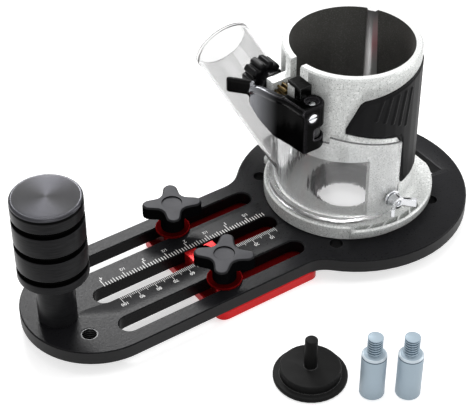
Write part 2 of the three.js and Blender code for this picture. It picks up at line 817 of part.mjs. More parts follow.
function makeStarKnob(turn) {
  const top = starTop;
  const low = starTop - starHeight;
  const seat = washerThickness + 2 * gap;
  let knob = prism(starOutline(turn), low, top, [], starEdge);
  knob = knob.add(disc(starHubRadius, seat, low + overrun, roundSides / 2));
  knob = knob.subtract(disc(starRecessRadius, top - starRecessDepth, top + overrun, smallSides));
  return knob.subtract(disc(studRadius + fit, seat - overrun, studReach + gap, smallSides));
}

// Cam lever: clevis hub on the pivot, a curved tall part, a flared arm and a finger paddle.
function makeLever() {
  const tall = [
    ...arc(0, 0, leverOuter, leverTallEndAngle, leverStartAngle, coarseSteps),
    ...arc(0, 0, leverInner, leverStartAngle, leverTallEndAngle, coarseSteps),
  ];
  let lever = prism(tall, leverBottom, leverTop, [], leverEdge);
  lever = lever.add(leverArm());
  lever = lever.add(disc(leverHubRadius, leverBottom, leverTop, smallSides, clampX, pivotY, leverEdge));
  lever = lever.add(leverHeel());
  lever = lever.add(paddle());
  const slotHalf = eyeHeight / 2 + gap;
  lever = lever.subtract(disc(leverHubRadius + fit, clampBoltZ - slotHalf, clampBoltZ + slotHalf,
    smallSides, clampX, pivotY));
  lever = lever.subtract(disc(pivotPinRadius + fit, leverBottom - overrun, leverTop + overrun, tinySides,
    clampX, pivotY));
  lever = lever.subtract(disc(pivotCounterRadius, leverTop - pivotCounterDepth, leverTop + overrun,
    smallSides, clampX, pivotY));
  return lever.subtract(bar(setScrewRadius + fit, setScrewX, setScrewZ, -leverFace - overrun,
    -leverFace + setScrewLength + fit, tinySides));
}

// Heel that joins the hub to the arm, with the flat face that carries the set screw.
function leverHeel() {
  const start = leverStartAngle * degree;
  const root = heelRootAngle * degree;
  const cornerX = leverOuter * Math.cos(start) - heelFlare;
  return prism([
    new THREE.Vector2(clampX, -leverFace),
    new THREE.Vector2(clampX, pivotY),
    new THREE.Vector2(leverInner * Math.cos(start), leverInner * Math.sin(start)),
    new THREE.Vector2(leverOuter * Math.cos(root), leverOuter * Math.sin(root)),
    new THREE.Vector2(cornerX, -leverFace + leverEdge),
    new THREE.Vector2(cornerX + leverEdge, -leverFace),
  ].reverse(), leverBottom, leverTop, [], leverEdge);
}

// Points along the arm's inner face, from inside the tall part to the free end.
function armLine() {
  const root = armRootAngle * degree;
  const start = leverInner + gap;
  const beside = backEarLip + armClear;
  const flared = -depthX + collarRadius + collarFlange + armFlareClear;
  const earFace = splitWidth / 2 + earThickness;
  const end = earFace + collarLength - armEndClear;
  return new THREE.SplineCurve([
    new THREE.Vector2(start * Math.cos(root), start * Math.sin(root)),
    new THREE.Vector2(-beside, -splitWidth / 2),
    new THREE.Vector2(-beside, splitWidth / 2),
    new THREE.Vector2(-flared, earFace),
    new THREE.Vector2(-flared - armEndFlare, end),
  ]).getPoints(coarseSteps);
}

// Flared arm, cut to its height as seen from the side.
function leverArm() {
  const inner = armLine();
  const outer = inner.map((point) => point.clone().sub(new THREE.Vector2(armThickness - gap, 0)));
  const root = inner[0];
  const end = inner[inner.length - 1];
  const earFace = splitWidth / 2 + earThickness;
  const side = [
    [root.y - overrun, leverBottom],
    [0, leverBottom],
    [earFace, leverBottom + armRise],
    [end.y + overrun, leverBottom + armTipRise],
    [end.y + overrun, leverTop - armTipDrop],
    [end.y - armTipLength, leverTop - armTopDrop - gap],
    [0, leverTop - armTopDrop],
    [root.y - overrun, leverTop - gap],
  ].map(([y, z]) => new THREE.Vector2(y, z));
  const reach = -end.x + 2 * armThickness;
  const geometry = new THREE.ExtrudeGeometry(new THREE.Shape(side), { depth: reach, bevelEnabled: false });
  geometry.rotateX(Math.PI / 2);
  geometry.rotateZ(Math.PI / 2);
  geometry.translate(-reach, 0, 0);
  const arm = prism([...inner, ...outer.reverse()], leverBottom, leverTop);
  return arm.intersect(toSolid(geometry));
}

// Tab that leaves the arm's end outward, for the finger.
function paddle() {
  const inner = armLine();
  const end = inner[inner.length - 1];
  const half = paddleThickness / 2;
  const x = end.x - half;
  const y = end.y - gap;
  const tipX = x + paddleReach * Math.cos(paddleFacing * degree);
  const tipY = y + paddleReach * Math.sin(paddleFacing * degree);
  return prism([
    ...arc(tipX, tipY, half, paddleFacing - 90, paddleFacing + 90, cornerSteps),
    ...arc(x, y, half, paddleFacing + 90, paddleFacing + 270, cornerSteps),
  ], paddleTop - paddleHeight, paddleTop, [], leverEdge);
}

function makePivotPin() {
  return disc(pivotPinRadius, leverBottom, leverTop - pivotCounterDepth, tinySides, clampX, pivotY, fit);
}

function makeSetScrew() {
  const front = -leverFace;
  return bar(setScrewRadius, setScrewX, setScrewZ, front, front + setScrewLength, smallSides)
    .subtract(block(setScrewX - setScrewRadius - overrun, setScrewX + setScrewRadius + overrun,
      front - overrun, front + setScrewSlot, setScrewZ - setScrewSlot / 2, setScrewZ + setScrewSlot / 2));
}

function makeClampBolt() {
  const far = splitWidth / 2 + earThickness + nutThickness + boltTail;
  return disc(eyeRadius, clampBoltZ - eyeHeight / 2, clampBoltZ + eyeHeight / 2, smallSides, clampX, pivotY)
    .add(bar(clampBoltRadius, clampX, clampBoltZ, pivotY, far, tinySides))
    .subtract(disc(pivotPinRadius + fit, leverBottom, leverTop, tinySides, clampX, pivotY));
}

function makeClampNut() {
  const near = splitWidth / 2 + earThickness + gap;
  return bar(nutRadius, clampX, clampBoltZ, near, near + nutThickness, 6)
    .subtract(bar(clampBoltRadius + fit, clampX, clampBoltZ, near - overrun, near + nutThickness + overrun,
      tinySides));
}

// Pad between the cam and the front ear, with a cap over the ear's top.
function makePad() {
  const face = -splitWidth / 2 - earThickness - gap;
  const inner = -tubeRadius - gap;
  return block(-earReach, inner, face - padThickness, face, earBottom, padCapTop)
    .add(block(-earReach, inner, -padReach, face, padCapBottom, padCapTop))
    .add(block(-earReach, inner, face - overrun, -splitWidth / 2, frontEarTop + gap, padCapTop))
    .subtract(bar(clampBoltRadius + fit, clampX, clampBoltZ, -flangeRadius, flangeRadius, tinySides))
    .subtract(bar(depthShaftRadius + fit, depthX, depthZ, -flangeRadius, flangeRadius, tinySides));
}

// Depth adjuster: shaft and pinion across the split, collar and scalloped knob behind the back ear.
function makeDepthShaft() {
  const front = -(splitWidth + earThickness) / 2;
  const back = splitWidth / 2 + earThickness + gap + collarLength + depthKnobLength / 2;
  return bar(depthShaftRadius, depthX, depthZ, front, back, tinySides);
}

function makePinion() {
  const shape = [];
  for (let i = 0; i < pinionTeeth; i += 1) {
    for (const [pitchShare, heightShare] of toothShares) {
      const turn = (i + pitchShare) * 2 * Math.PI / pinionTeeth;
      const radius = pinionRootRadius + heightShare * (pinionTipRadius - pinionRootRadius);
      shape.push(new THREE.Vector2(radius * Math.cos(turn), radius * Math.sin(turn)));
    }
  }
  const gear = prism(shape, -pinionHalfLength, pinionHalfLength)
    .subtract(disc(depthShaftRadius + fit, -splitWidth, splitWidth, tinySides));
  return alongY(gear, depthX, 0, depthZ);
}

// Lays a solid that was built about Z along Y, its lower end first, and moves it to a place.
function alongY(solid, x, y, z) {
  const geometry = toGeometry(solid);
  geometry.rotateX(-Math.PI / 2);
  geometry.translate(x, y, z);
  return toSolid(geometry);
}

function makeCollar() {
  const collar = turned([
    [0, 0],
    [collarRadius + collarFlange, 0],
    [collarRadius + collarFlange, collarFlange],
    [collarRadius, collarFlange],
    [collarRadius, collarLength - gap],
    [0, collarLength - gap],
  ], roundSides / 2).subtract(disc(depthShaftRadius + fit, -overrun, collarLength + overrun, tinySides));
  return alongY(collar, depthX, splitWidth / 2 + earThickness + gap, depthZ);
}

function makeDepthKnob() {
  const outline = [];
  const pitch = 360 / depthKnobScallops;
  for (let i = 0; i < depthKnobScallops; i += 1) {
    const at = i * pitch;
    const land = pitch * landHalfShare;
    outline.push(...arc(0, 0, depthKnobRadius, at - land, at + land, coarseSteps));
    outline.push(...arc(0, 0, depthKnobRadius - depthKnobScallopDepth, at + pitch * scallopFromShare,
      at + pitch * scallopToShare, coarseSteps / 2));
  }
  const knob = prism(outline, 0, depthKnobLength, [], depthKnobEdge)
    .subtract(disc(depthShaftRadius + fit, -overrun, depthKnobLength / 2 + gap, tinySides));
  return alongY(knob, depthX, splitWidth / 2 + earThickness + gap + collarLength, depthZ);
}

// Outline of a grip on the unrolled tube, as angle and height.
function gripOutline() {
  const cut = gripBorderAngle;
  const skirtTurn = gripSkirtAngle;
  const backTurn = gripBackAngle;
  const points = [
    [gripTipAngle, gripTipLow], [skirtTurn - cut, gripSkirtTop + gap],
    [skirtTurn, gripSkirtTop - gripBorder], [skirtTurn + cut, gripLowEdge + gripBorder],
    [skirtTurn + 2 * cut, gripLowEdge], [backTurn - cut, gripLowEdge],
    [backTurn, gripLowEdge + gripBorder], [backTurn, gripTopBack - gripBorder],
    [backTurn - cut, gripTopBack], [(gripShoulderAngle + backTurn) / 2, gripTopBack - gripBorder],
    [gripShoulderAngle + cut, gripTopFront], [gripShoulderAngle, gripTopFront - gripBorder / 2],
    [gripTipAngle, gripTipHigh],
  ];
  return points.map(([angle, z]) => new THREE.Vector2(angle, z));
}

// Moves each corner of a grip's outline away from the grip's middle, or towards it where margin is negative.
function grown(outline, margin) {
  const middleAngle = (gripSkirtAngle + gripBackAngle) / 2;
  const middleZ = (gripSkirtTop + gripTopFront) / 2;
  const turn = margin / tubeRadius / degree;
  return outline.map((p) => new THREE.Vector2(
    p.x + Math.sign(p.x - middleAngle) * turn,
    p.y + Math.sign(p.y - middleZ) * margin,
  ));
}

// One rubber grip: its border, the raised middle and the leaning ribs.
function makeGrip(mirror) {
  const floor = tubeRadius - gripRecess + gap;
  const face = tubeRadius + gripProud;
  const root = (floor + face) / 2;
  const inset = grown(gripOutline(), -gripBorder / 2);
  inset[0].y = gripTipLow + gripBorder / 4;
  let grip = wrap(gripOutline(), floor, face, mirror);
  grip = grip.add(wrap(inset, root, face + gripRaise, mirror));
  for (let i = 0; i < ribCount; i += 1) {
    const at = ribFirstAngle + i * ribPitchAngle;
    const low = ribLow - i * ribHeight / ribCount;
    const rib = [
      new THREE.Vector2(at - ribHalfAngle, low),
      new THREE.Vector2(at + ribHalfAngle, low),
      new THREE.Vector2(at + ribLeanAngle + ribHalfAngle, ribHigh),
      new THREE.Vector2(at + ribLeanAngle - ribHalfAngle, ribHigh),
    ];
    grip = grip.add(wrap(rib, root, face + gripRaise + ribRaise, mirror));
  }
  return grip;
}

// Bends a flat outline of angle and height pairs round the tube, between two radii.
function wrap(outline, inner, outer, mirror) {
  const flat = prism(outline, 0, outer - inner);
  const box = flat.boundingBox();
  const cell = 360 / roundSides;
  let bent = null;
  for (let from = box.min[0]; from < box.max[0]; from += cell) {
    const slab = block(from, Math.min(from + cell, box.max[0]), box.min[1] - overrun, box.max[1] + overrun,
      -overrun, outer - inner + overrun);
    const slice = bend(flat.intersect(slab), inner, mirror);
    bent = bent ? bent.add(slice) : slice;
  }
  return bent;
}

function bend(solid, inner, mirror) {
  const geometry = toGeometry(solid);
  const p = geometry.attributes.position;
  for (let i = 0; i < p.count; i += 1) {
    const turn = (mirror ? 360 - p.getX(i) : p.getX(i)) * degree;
    const r = inner + p.getZ(i);
    p.setXYZ(i, r * Math.cos(turn), r * Math.sin(turn), p.getY(i));
  }
  return toSolid(geometry);
}

// Clear dust cover: half shell on the flange, its foot lip and the port for the pipe.
function makeCover() {
  const foot = flangeHeight + gap;
  const from = armDirection - coverHalfAngle;
  const to = armDirection + coverHalfAngle;
  const tall = coverTop + coverOuter * coverTopSlopeShare + overrun;
  let cover = sector(coverInner, coverOuter, from, to, foot, tall, fineSides / 2);
  const slope = Math.atan(coverTopSlopeShare);
  const roof = new THREE.BoxGeometry(4 * flangeRadius, 4 * flangeRadius, tubeHeight);
  roof.translate(0, 0, tubeHeight / 2);
  roof.rotateY(slope);
  roof.translate(0, 0, coverTop);
  cover = cover.subtract(toSolid(roof));
  cover = cover.subtract(sector(boreRadius, flangeRadius, coverNotchFromAngle, coverNotchToAngle,
    leverBottom - gap, tall, smallSides));
  cover = cover.add(sector(coverInner, coverLipRadius, from, coverLipAngle, foot, foot + coverLipHeight,
    fineSides / 2));
  cover = cover.add(sector(coverInner, coverLipInner, coverLipAngle - overrun, to, foot,
    foot + coverLipHeight, smallSides));
  cover = cover.subtract(pipeSolid(pipeRadius - pipeWall, -pipeLength / 2, pipeLength / 2));
  return cover.subtract(bar(wingShankRadius + fit, wingX, wingZ, -coverOuter - overrun, -boreRadius,
    tinySides));
}

function pipeSolid(radius, from, to, sides = roundSides) {
  const geometry = new THREE.CylinderGeometry(radius, radius, to - from, sides);
  geometry.translate(0, (from + to) / 2, 0);
  geometry.rotateX(pipeRiseAngle * degree);
  geometry.translate(pipeX, pipeY, pipeZ);
  return toSolid(geometry);
}

function makePipe() {
  const start = -pipeLength / 2;
  return pipeSolid(pipeRadius, start, pipeLength)
    .add(pipeSolid(pipeRadius + pipeLipThickness, pipeLength - pipeLipLength, pipeLength))
    .subtract(pipeSolid(pipeRadius - pipeWall, start - overrun, pipeLength + overrun))
    .subtract(disc(coverOuter + gap, 0, tubeHeight, fineSides))
    .subtract(block(-2 * flangeRadius, 2 * flangeRadius, -2 * flangeRadius, 0, 0, tubeHeight));
}

// Wing screw along -Y, with its washer against the cover.
function wingSeat() {
  return coverOuter + gap + wingWasherThickness + gap;
}

function makeWingScrew() {
  const seat = wingSeat();
  const reach = wingHubLength + wingFlare;
  const wing = (side) => prism([
    new THREE.Vector2(0, wingThickness),
    new THREE.Vector2(side * (wingSpan - wingThickness), reach - 2 * wingThickness),
    new THREE.Vector2(side * wingSpan, reach - wingThickness),
    new THREE.Vector2(side * (wingSpan - wingThickness), reach),
    new THREE.Vector2(0, wingHubLength - wingThickness),
  ], -wingHeight / 2, wingHeight / 2);
  const flat = (solid) => {
    const geometry = toGeometry(solid);
    geometry.rotateX(Math.PI);
    geometry.translate(wingX, -seat, wingZ);
    return toSolid(geometry);
  };
  let screw = bar(wingHubRadius, wingX, wingZ, -seat - wingHubLength, -seat, smallSides);
  screw = screw.add(flat(wing(1))).add(flat(wing(-1)));
  screw = screw.add(bar(wingShankRadius, wingX, wingZ, -seat - overrun, -seat + wingShankBite, tinySides));
  return screw.subtract(bar(wingSocketRadius, wingX, wingZ, -seat - wingHubLength - overrun,
    -seat - wingHubLength + wingSocketDepth, 6));
}

function makeWingWasher() {
  const near = -coverOuter - gap;
  return bar(wingWasherRadius, wingX, wingZ, near - wingWasherThickness, near, smallSides)
    .subtract(bar(wingShankRadius + fit, wingX, wingZ, near - wingWasherThickness - overrun, near + overrun,
      tinySides));
}

// Loose centring disc with its stem, standing on the floor.
function makeCentringDisc() {
  const step = discThickness + discStepHeight;
  const top = step + discStemHeight;
  return turned([
    [0, 0], [discRadius - discEdge, 0], [discRadius, discEdge],
    [discRadius, discThickness - discEdge], [discRadius - discEdge, discThickness],
    [discStepRadius, discThickness], [discStepRadius, step - discEdge], [discStepRadius - discEdge, step],
    [discStemRadius, step], [discStemRadius, top - discEdge], [discStemRadius - discEdge, top], [0, top],
  ], roundSides, discX, discY);
}

// Loose guide pin: plain body, undercut neck and threaded stub.
function makeGuidePin(x, y) {
  const top = pinHeight + pinThreadHeight;
  return turned([
    [0, 0], [pinRadius - pinChamfer, 0], [pinRadius, pinChamfer],
    [pinRadius, pinHeight - pinChamfer], [pinRadius - pinChamfer, pinHeight],
    [pinNeckRadius, pinHeight], [pinNeckRadius, pinHeight + pinNeckHeight],
    [pinThreadRadius, pinHeight + pinNeckHeight], [pinThreadRadius, top - pinThreadChamfer],
    [pinThreadRadius - pinThreadChamfer, top], [0, top],
  ], smallSides, x, y);
}

addPiece('base_plate', makePlate(), blackAnodised);
addPiece('router_casting', makeCasting(), castAluminium);
for (const [end, sx] of [['near', -1], ['far', 1]]) {
  for (const [side, sy] of [['front', -1], ['back', 1]]) {
    addPiece(`base_screw_${end}_${side}`, makeBaseScrew(sx * baseScrewX, sy * baseScrewY), steel);
  }
}
addPiece('handle_post', makePost(), blackAnodised);
addPiece('handle_knob', makeHandleKnob(), blackAnodised);
addPiece('handle_screw', makeHandleScrew(), steel);
addPiece('grip_front', makeGrip(false), rubber);
addPiece('grip_back', makeGrip(true), rubber);
addPiece('dust_cover', makeCover(), clearPlastic);
addPiece('dust_pipe', makePipe(), clearPlastic);
addPiece('wing_screw', makeWingScrew(), steel);
addPiece('wing_washer', makeWingWasher(), steel);
addPiece('cam_lever', makeLever(), blackPlastic);
addPiece('lever_pivot_pin', makePivotPin(), steel);
addPiece('lever_set_screw', makeSetScrew(), steel);
addPiece('clamp_bolt', makeClampBolt(), steel);
addPiece('clamp_nut', makeClampNut(), steel);
addPiece('clamp_pad', makePad(), blackPlastic);
addPiece('depth_shaft', makeDepthShaft(), steel);
addPiece('depth_pinion', makePinion(), brass);
addPiece('depth_collar', makeCollar(), blackPlastic);
addPiece('depth_knob', makeDepthKnob(), blackPlastic);
addPiece('fence_plate', makeFence(), redAnodised, whole);
addPiece('cursor_block', makeCursor(), redAnodised, whole);
addPiece('cursor_screw', makeCursorScrew(), steel, whole);
for (const [side, sign, turn] of [['front', -1, starFrontAngle], ['back', 1, starBackAngle]]) {
  const y = sign * slotPitch;
  addPiece(`clamp_stud_${side}`, makeStud(y), steel, whole);
  addPiece(`stud_washer_${side}`, makeWasher(y), redAnodised, whole);
  addPiece(`star_knob_${side}`, makeStarKnob(turn), blackPlastic).position.set(studX, y, 0);
}
addPiece('centring_disc', makeCentringDisc(), blackAnodised, whole);
addPiece('guide_pin_back', makeGuidePin(pinBackX, pinBackY), zincPlate, whole);
addPiece('guide_pin_front', makeGuidePin(pinFrontX, pinFrontY), zincPlate, whole);

// The frame's origin is the middle of the footprint, on the floor.
whole.updateMatrixWorld(true);
const reach = new THREE.Box3().setFromObject(whole);
const part = new THREE.Group();
part.add(whole);
whole.position.set(-(reach.min.x + reach.max.x) / 2, -(reach.min.y + reach.max.y) / 2, -reach.min.z);

export default part;
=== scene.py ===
# %% [markdown]
# # A trim router base on its slotted guide plate
# The real object is mostly metal: a black anodised plate, a cast and painted tube, a red fence below the
# plate and a few turned and moulded knobs. Each cell makes one piece or one finish, and says why it is made
# that way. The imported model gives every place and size, so the first cell loads it.

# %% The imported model
import math

import bmesh
import bpy
import numpy as np
from mathutils import Matrix, Vector


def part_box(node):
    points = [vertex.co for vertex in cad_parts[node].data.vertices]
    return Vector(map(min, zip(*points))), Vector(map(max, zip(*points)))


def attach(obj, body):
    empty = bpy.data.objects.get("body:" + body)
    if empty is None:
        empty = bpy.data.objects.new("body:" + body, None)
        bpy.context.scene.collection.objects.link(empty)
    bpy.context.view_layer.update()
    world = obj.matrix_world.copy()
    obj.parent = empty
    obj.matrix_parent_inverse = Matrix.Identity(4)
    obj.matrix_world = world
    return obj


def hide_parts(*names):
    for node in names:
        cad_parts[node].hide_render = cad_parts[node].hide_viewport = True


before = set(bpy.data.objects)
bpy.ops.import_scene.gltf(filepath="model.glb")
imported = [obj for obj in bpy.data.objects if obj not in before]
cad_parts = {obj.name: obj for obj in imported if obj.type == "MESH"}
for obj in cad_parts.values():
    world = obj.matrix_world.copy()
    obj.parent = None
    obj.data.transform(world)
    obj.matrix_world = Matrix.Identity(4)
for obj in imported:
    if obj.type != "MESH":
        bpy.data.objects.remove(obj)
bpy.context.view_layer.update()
scene = bpy.context.scene

# %% [markdown]
# ## Working in millimetres
# Drawings of such a part are in millimetres, measured from the middle of the router's bore and from the
# plate's top. Pieces are drawn in those numbers, and one matrix carries them into the frame, which is in
# metres. The handle's post and the plate give the matrix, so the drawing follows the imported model.

# %% Millimetres
MM = 0.001
HANDLE_X = -178.1
post_low, post_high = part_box("handle_post")
bore_axis = Vector(((post_low.x + post_high.x) / 2 - HANDLE_X * MM, (post_low.y + post_high.y) / 2,
                    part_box("base_plate")[1].z))
to_frame = Matrix.Translation(bore_axis) @ Matrix.Scale(MM, 4)
to_drawing = to_frame.inverted()
print("bore axis at", [round(v, 4) for v in bore_axis])

# %% [markdown]
# ## The camera
# A camera far away with a long lens keeps edges nearly parallel. The angles below were found from the
# printed scale on the plate, whose real length is known. The axes are built one by one, because a small roll
# is easiest to add that way.

# %% Camera
YAW, PITCH, ROLL = math.radians(-34.39), math.radians(39.18), math.radians(-0.15)
AIM = to_frame @ Vector((-55.85, 23.07, 0))
DISTANCE, LENS, SENSOR = 0.80266, 113.513, 36.0


def in_scene(name, data):
    made = bpy.data.objects.new(name, data)
    scene.collection.objects.link(made)
    return made


camera = in_scene("camera", bpy.data.cameras.new("camera"))
cam_back = Vector((math.sin(YAW) * math.cos(PITCH), -math.cos(YAW) * math.cos(PITCH), math.sin(PITCH)))
level = Vector((math.cos(YAW), math.sin(YAW), 0))
upward = cam_back.cross(level)
cam_right = math.cos(ROLL) * level + math.sin(ROLL) * upward
cam_up = -math.sin(ROLL) * level + math.cos(ROLL) * upward
camera.matrix_world = Matrix.Translation(AIM + DISTANCE * cam_back) @ Matrix(
    (cam_right, cam_up, cam_back)).transposed().to_4x4()
camera.data.lens, camera.data.sensor_width = LENS, SENSOR
camera.data.clip_start, camera.data.clip_end = 0.05, 20
scene.camera = camera
print("camera at", [round(v, 3) for v in camera.matrix_world.translation])

# %% [markdown]
# ## Floor, backdrop and light
# The object stands on a plain pale floor in soft studio light. White for the camera and for reflections
# comes from the world's own strength of 1, while the light that falls on the object is set apart from it.
# That keeps black parts black. The floor still takes the object's shadow.

# %% World
AMBIENT = 0.38
WHITE = (1, 1, 1, 1)


def feed(tree, value, socket):
    """Sets a number or a colour on a socket, or links another socket to it."""
    if isinstance(value, (int, float)):
        socket.default_value = value
    elif isinstance(value, tuple):
        socket.default_value = (*value, 1)
    else:
        tree.links.new(value, socket)


def math_node(tree, operation, a, b=None, clamp=False):
    node = tree.nodes.new("ShaderNodeMath")
    node.operation, node.use_clamp = operation, clamp
    feed(tree, a, node.inputs[0])
    if b is not None:
        feed(tree, b, node.inputs[1])
    return node.outputs[0]


def times(tree, a, b, clamp=False):
    return math_node(tree, "MULTIPLY", a, b, clamp)


def minus(tree, a, b):
    return math_node(tree, "SUBTRACT", a, b)


def seen_rays(tree):
    """1 for camera, glossy and transmission rays, 0 for the light that falls on surfaces."""
    path = tree.nodes.new("ShaderNodeLightPath").outputs
    seen = math_node(tree, "MAXIMUM", path["Is Camera Ray"], path["Is Glossy Ray"])
    return math_node(tree, "MAXIMUM", seen, path["Is Transmission Ray"])


def background(tree, strength):
    node = tree.nodes.new("ShaderNodeBackground")
    node.inputs["Color"].default_value = WHITE
    node.inputs["Strength"].default_value = strength
    return node.outputs[0]


scene.view_settings.view_transform = "Standard"
world = bpy.data.worlds.new("studio")
scene.world = world
world.use_nodes = True
tree = world.node_tree
tree.nodes.clear()
choose = tree.nodes.new("ShaderNodeMixShader")
tree.links.new(seen_rays(tree), choose.inputs[0])
tree.links.new(background(tree, AMBIENT), choose.inputs[1])
tree.links.new(background(tree, 1.0), choose.inputs[2])
tree.links.new(choose.outputs[0], tree.nodes.new("ShaderNodeOutputWorld").inputs[0])
print("ambient light", AMBIENT)

# %% Floor
FLOOR_HALF, FLOOR_DROP, FLOOR_GLOW = 6.0, 0.0002, 0.60
PAPER_WHITE = (0.8, 0.8, 0.8, 1)
SIGNS = ((-1, -1), (1, -1), (1, 1), (-1, 1))
corners = [(x * FLOOR_HALF, y * FLOOR_HALF, -FLOOR_DROP) for x, y in SIGNS]
floor_mesh = bpy.data.meshes.new("floor")
floor_mesh.from_pydata(corners, [], [(0, 1, 2, 3)])
floor = in_scene("floor", floor_mesh)
paper = bpy.data.materials.new("floor_paper")
paper.use_nodes = True
tree = paper.node_tree
tree.nodes.clear()
matt, glow = tree.nodes.new("ShaderNodeBsdfDiffuse"), tree.nodes.new("ShaderNodeEmission")
matt.inputs["Color"].default_value = PAPER_WHITE
tree.links.new(times(tree, seen_rays(tree), FLOOR_GLOW), glow.inputs["Strength"])
both = tree.nodes.new("ShaderNodeAddShader")
tree.links.new(matt.outputs[0], both.inputs[0])
tree.links.new(glow.outputs[0], both.inputs[1])
tree.links.new(both.outputs[0], tree.nodes.new("ShaderNodeOutputMaterial").inputs[0])
floor_mesh.materials.append(paper)
print("floor made")

# %% [markdown]
# Large lamps give soft shadows and long reflections. One hangs overhead, a small box behind draws the
# bright edges, a tall strip lights the right side, and a far one fills the front.

# %% Lamps
# Each lamp: place, target, width and height in metres, and power in watts
LAMPS = {
    "overhead": ((0.05, 0.10, 0.95), (0.0, 0.02, 0.03), (0.60, 0.50), 2.2),
    "back_softbox": ((0.13, 0.46, 0.44), (-0.08, 0.02, 0.02), (0.26, 0.15), 2.6),
    "right_strip": ((0.70, -0.35, 0.50), (0.03, 0.02, 0.05), (0.25, 0.70), 1.9),
    "front_fill": ((-0.45, -0.90, 0.55), (0.0, 0.02, 0.02), (0.60, 0.40), 2.5),
}
for name, (place, target, size, power) in LAMPS.items():
    lamp = bpy.data.lights.new(name, "AREA")
    lamp.shape, lamp.size, lamp.size_y, lamp.energy = "RECTANGLE", size[0], size[1], power
    holder = in_scene(name, lamp)
    holder.location = place
    holder.rotation_mode = "QUATERNION"
    holder.rotation_quaternion = (Vector(target) - Vector(place)).to_track_quat("-Z", "Y")
print(len(LAMPS), "lamps")

# %% [markdown]
# ## Effects that several finishes share
# Sand-blasted grain, worn edges, painted highlight lines on edges, cast speckle, lathe marks and painted
# light turn up on many parts. Each is a node group with named inputs and outputs, built once. A group only
# puts out masks and heights that vary over the surface, and the shader itself stays in each material.

# %% Building a group


def new_group(name, inputs, build):
    """A node group with number inputs. What build gives back, by name, becomes its outputs."""
    tree = bpy.data.node_groups.new(name, "ShaderNodeTree")
    for label, value in inputs.items():
        tree.interface.new_socket(label, in_out="INPUT", socket_type="NodeSocketFloat").default_value = value
    made = build(tree, tree.nodes.new("NodeGroupInput").outputs)
    for label in made:
        tree.interface.new_socket(label, in_out="OUTPUT", socket_type="NodeSocketFloat")
    end = tree.nodes.new("NodeGroupOutput")
    for label, value in made.items():
        tree.links.new(value, end.inputs[label])
    print("node group", name)
    return tree


def spread(tree, value, low, high):
    """Maps a mask from 0 to 1 on a range."""
    return math_node(tree, "ADD", times(tree, value, high - low), low)


def ramped(tree, value, start, width):
    """0 up to the start, then rises to 1 over a width. With a negative width it rises the other way."""
    return math_node(tree, "DIVIDE", minus(tree, value, start), width, True)


def object_point(tree):
    return tree.nodes.new("ShaderNodeTexCoord").outputs["Object"]


def apart(tree, vector):
    """The outputs X, Y and Z of a vector."""
    node = tree.nodes.new("ShaderNodeSeparateXYZ")
    tree.links.new(vector, node.inputs[0])
    return node.outputs


def from_axis(tree, axis_x, axis_y):
    """How far a point of the surface lies from an upright axis, in X and in Y."""
    place = apart(tree, object_point(tree))
    return minus(tree, place["X"], axis_x), minus(tree, place["Y"], axis_y)


def noise(tree, point, scale, detail=2.0):
    node = tree.nodes.new("ShaderNodeTexNoise")
    node.inputs["Detail"].default_value = detail
    tree.links.new(point, node.inputs["Vector"])
    feed(tree, scale, node.inputs["Scale"])
    return node.outputs["Fac"]


# %% [markdown]
# The edge mask compares a rounded normal with the true one, and they differ only near an edge. Noise breaks
# that line up, as real wear does. On some finishes the edge colour is wear, on others a painted highlight
# line. Speckle cuts two noises at a level, so each gives separate spots.

# %% Grain, worn or painted-light edges and speckle
EDGE_NOISE, EDGE_CONTRAST = 900.0, 7.0
BROAD_SPOTS, COVER_SHARE, SPOT_CONTRAST = 0.43, 0.9, 9.0


def grain_nodes(tree, given):
    point = object_point(tree)
    return {"Grain": noise(tree, point, given["Scale"], 3.0),
            "Smudge": noise(tree, point, given["Smudge Scale"], 4.0)}


def wear_nodes(tree, given):
    rounded, flat = tree.nodes.new("ShaderNodeBevel"), tree.nodes.new("ShaderNodeNewGeometry")
    rounded.samples = 4
    tree.links.new(given["Radius"], rounded.inputs["Radius"])
    dot = tree.nodes.new("ShaderNodeVectorMath")
    dot.operation = "DOT_PRODUCT"
    tree.links.new(rounded.outputs[0], dot.inputs[0])
    tree.links.new(flat.outputs["Normal"], dot.inputs[1])
    bent = minus(tree, 1.0, dot.outputs["Value"])
    broken = times(tree, noise(tree, object_point(tree), EDGE_NOISE), EDGE_CONTRAST)
    return {"Mask": times(tree, times(tree, bent, broken), given["Amount"], True)}


def speckle_nodes(tree, given):
    point = object_point(tree)
    fine = noise(tree, point, given["Scale"], 1.5)
    broad = noise(tree, point, times(tree, given["Scale"], BROAD_SPOTS), 1.0)
    edge = minus(tree, 1.0, times(tree, given["Cover"], COVER_SHARE))
    dark, bright = (times(tree, minus(tree, spots, edge), SPOT_CONTRAST, True)
                    for spots in (fine, broad))
    return {"Dark": dark, "Bright": bright, "Height": math_node(tree, "ADD", fine, broad)}


grain = new_group("fine_grain", {"Scale": 2500.0, "Smudge Scale": 60.0}, grain_nodes)
edge_wear_and_light = new_group("worn_and_lit_edges", {"Radius": 0.0006, "Amount": 1.0}, wear_nodes)
speckle = new_group("cast_speckle", {"Scale": 1500.0, "Cover": 0.5}, speckle_nodes)

# %% [markdown]
# A lathe leaves rings about its axis, and they throw light in two wedges, which a mask paints into the base
# colour as a painted highlight. Drawn or moulded surfaces have long streaks, made by squeezing or stretching
# the noise along Z. Painted top light follows the way a face looks, and the lever's painted highlight its
# place along a part.

# %% Rings, painted wedges, streaks, painted top light and a painted highlight along a part
RING_NOISE, TOP_LIGHT_NOISE, TOP_LIGHT_RANGE, LEVER_HIGHLIGHT_RISE = 0.35, 140.0, (0.65, 1.25), 1.3


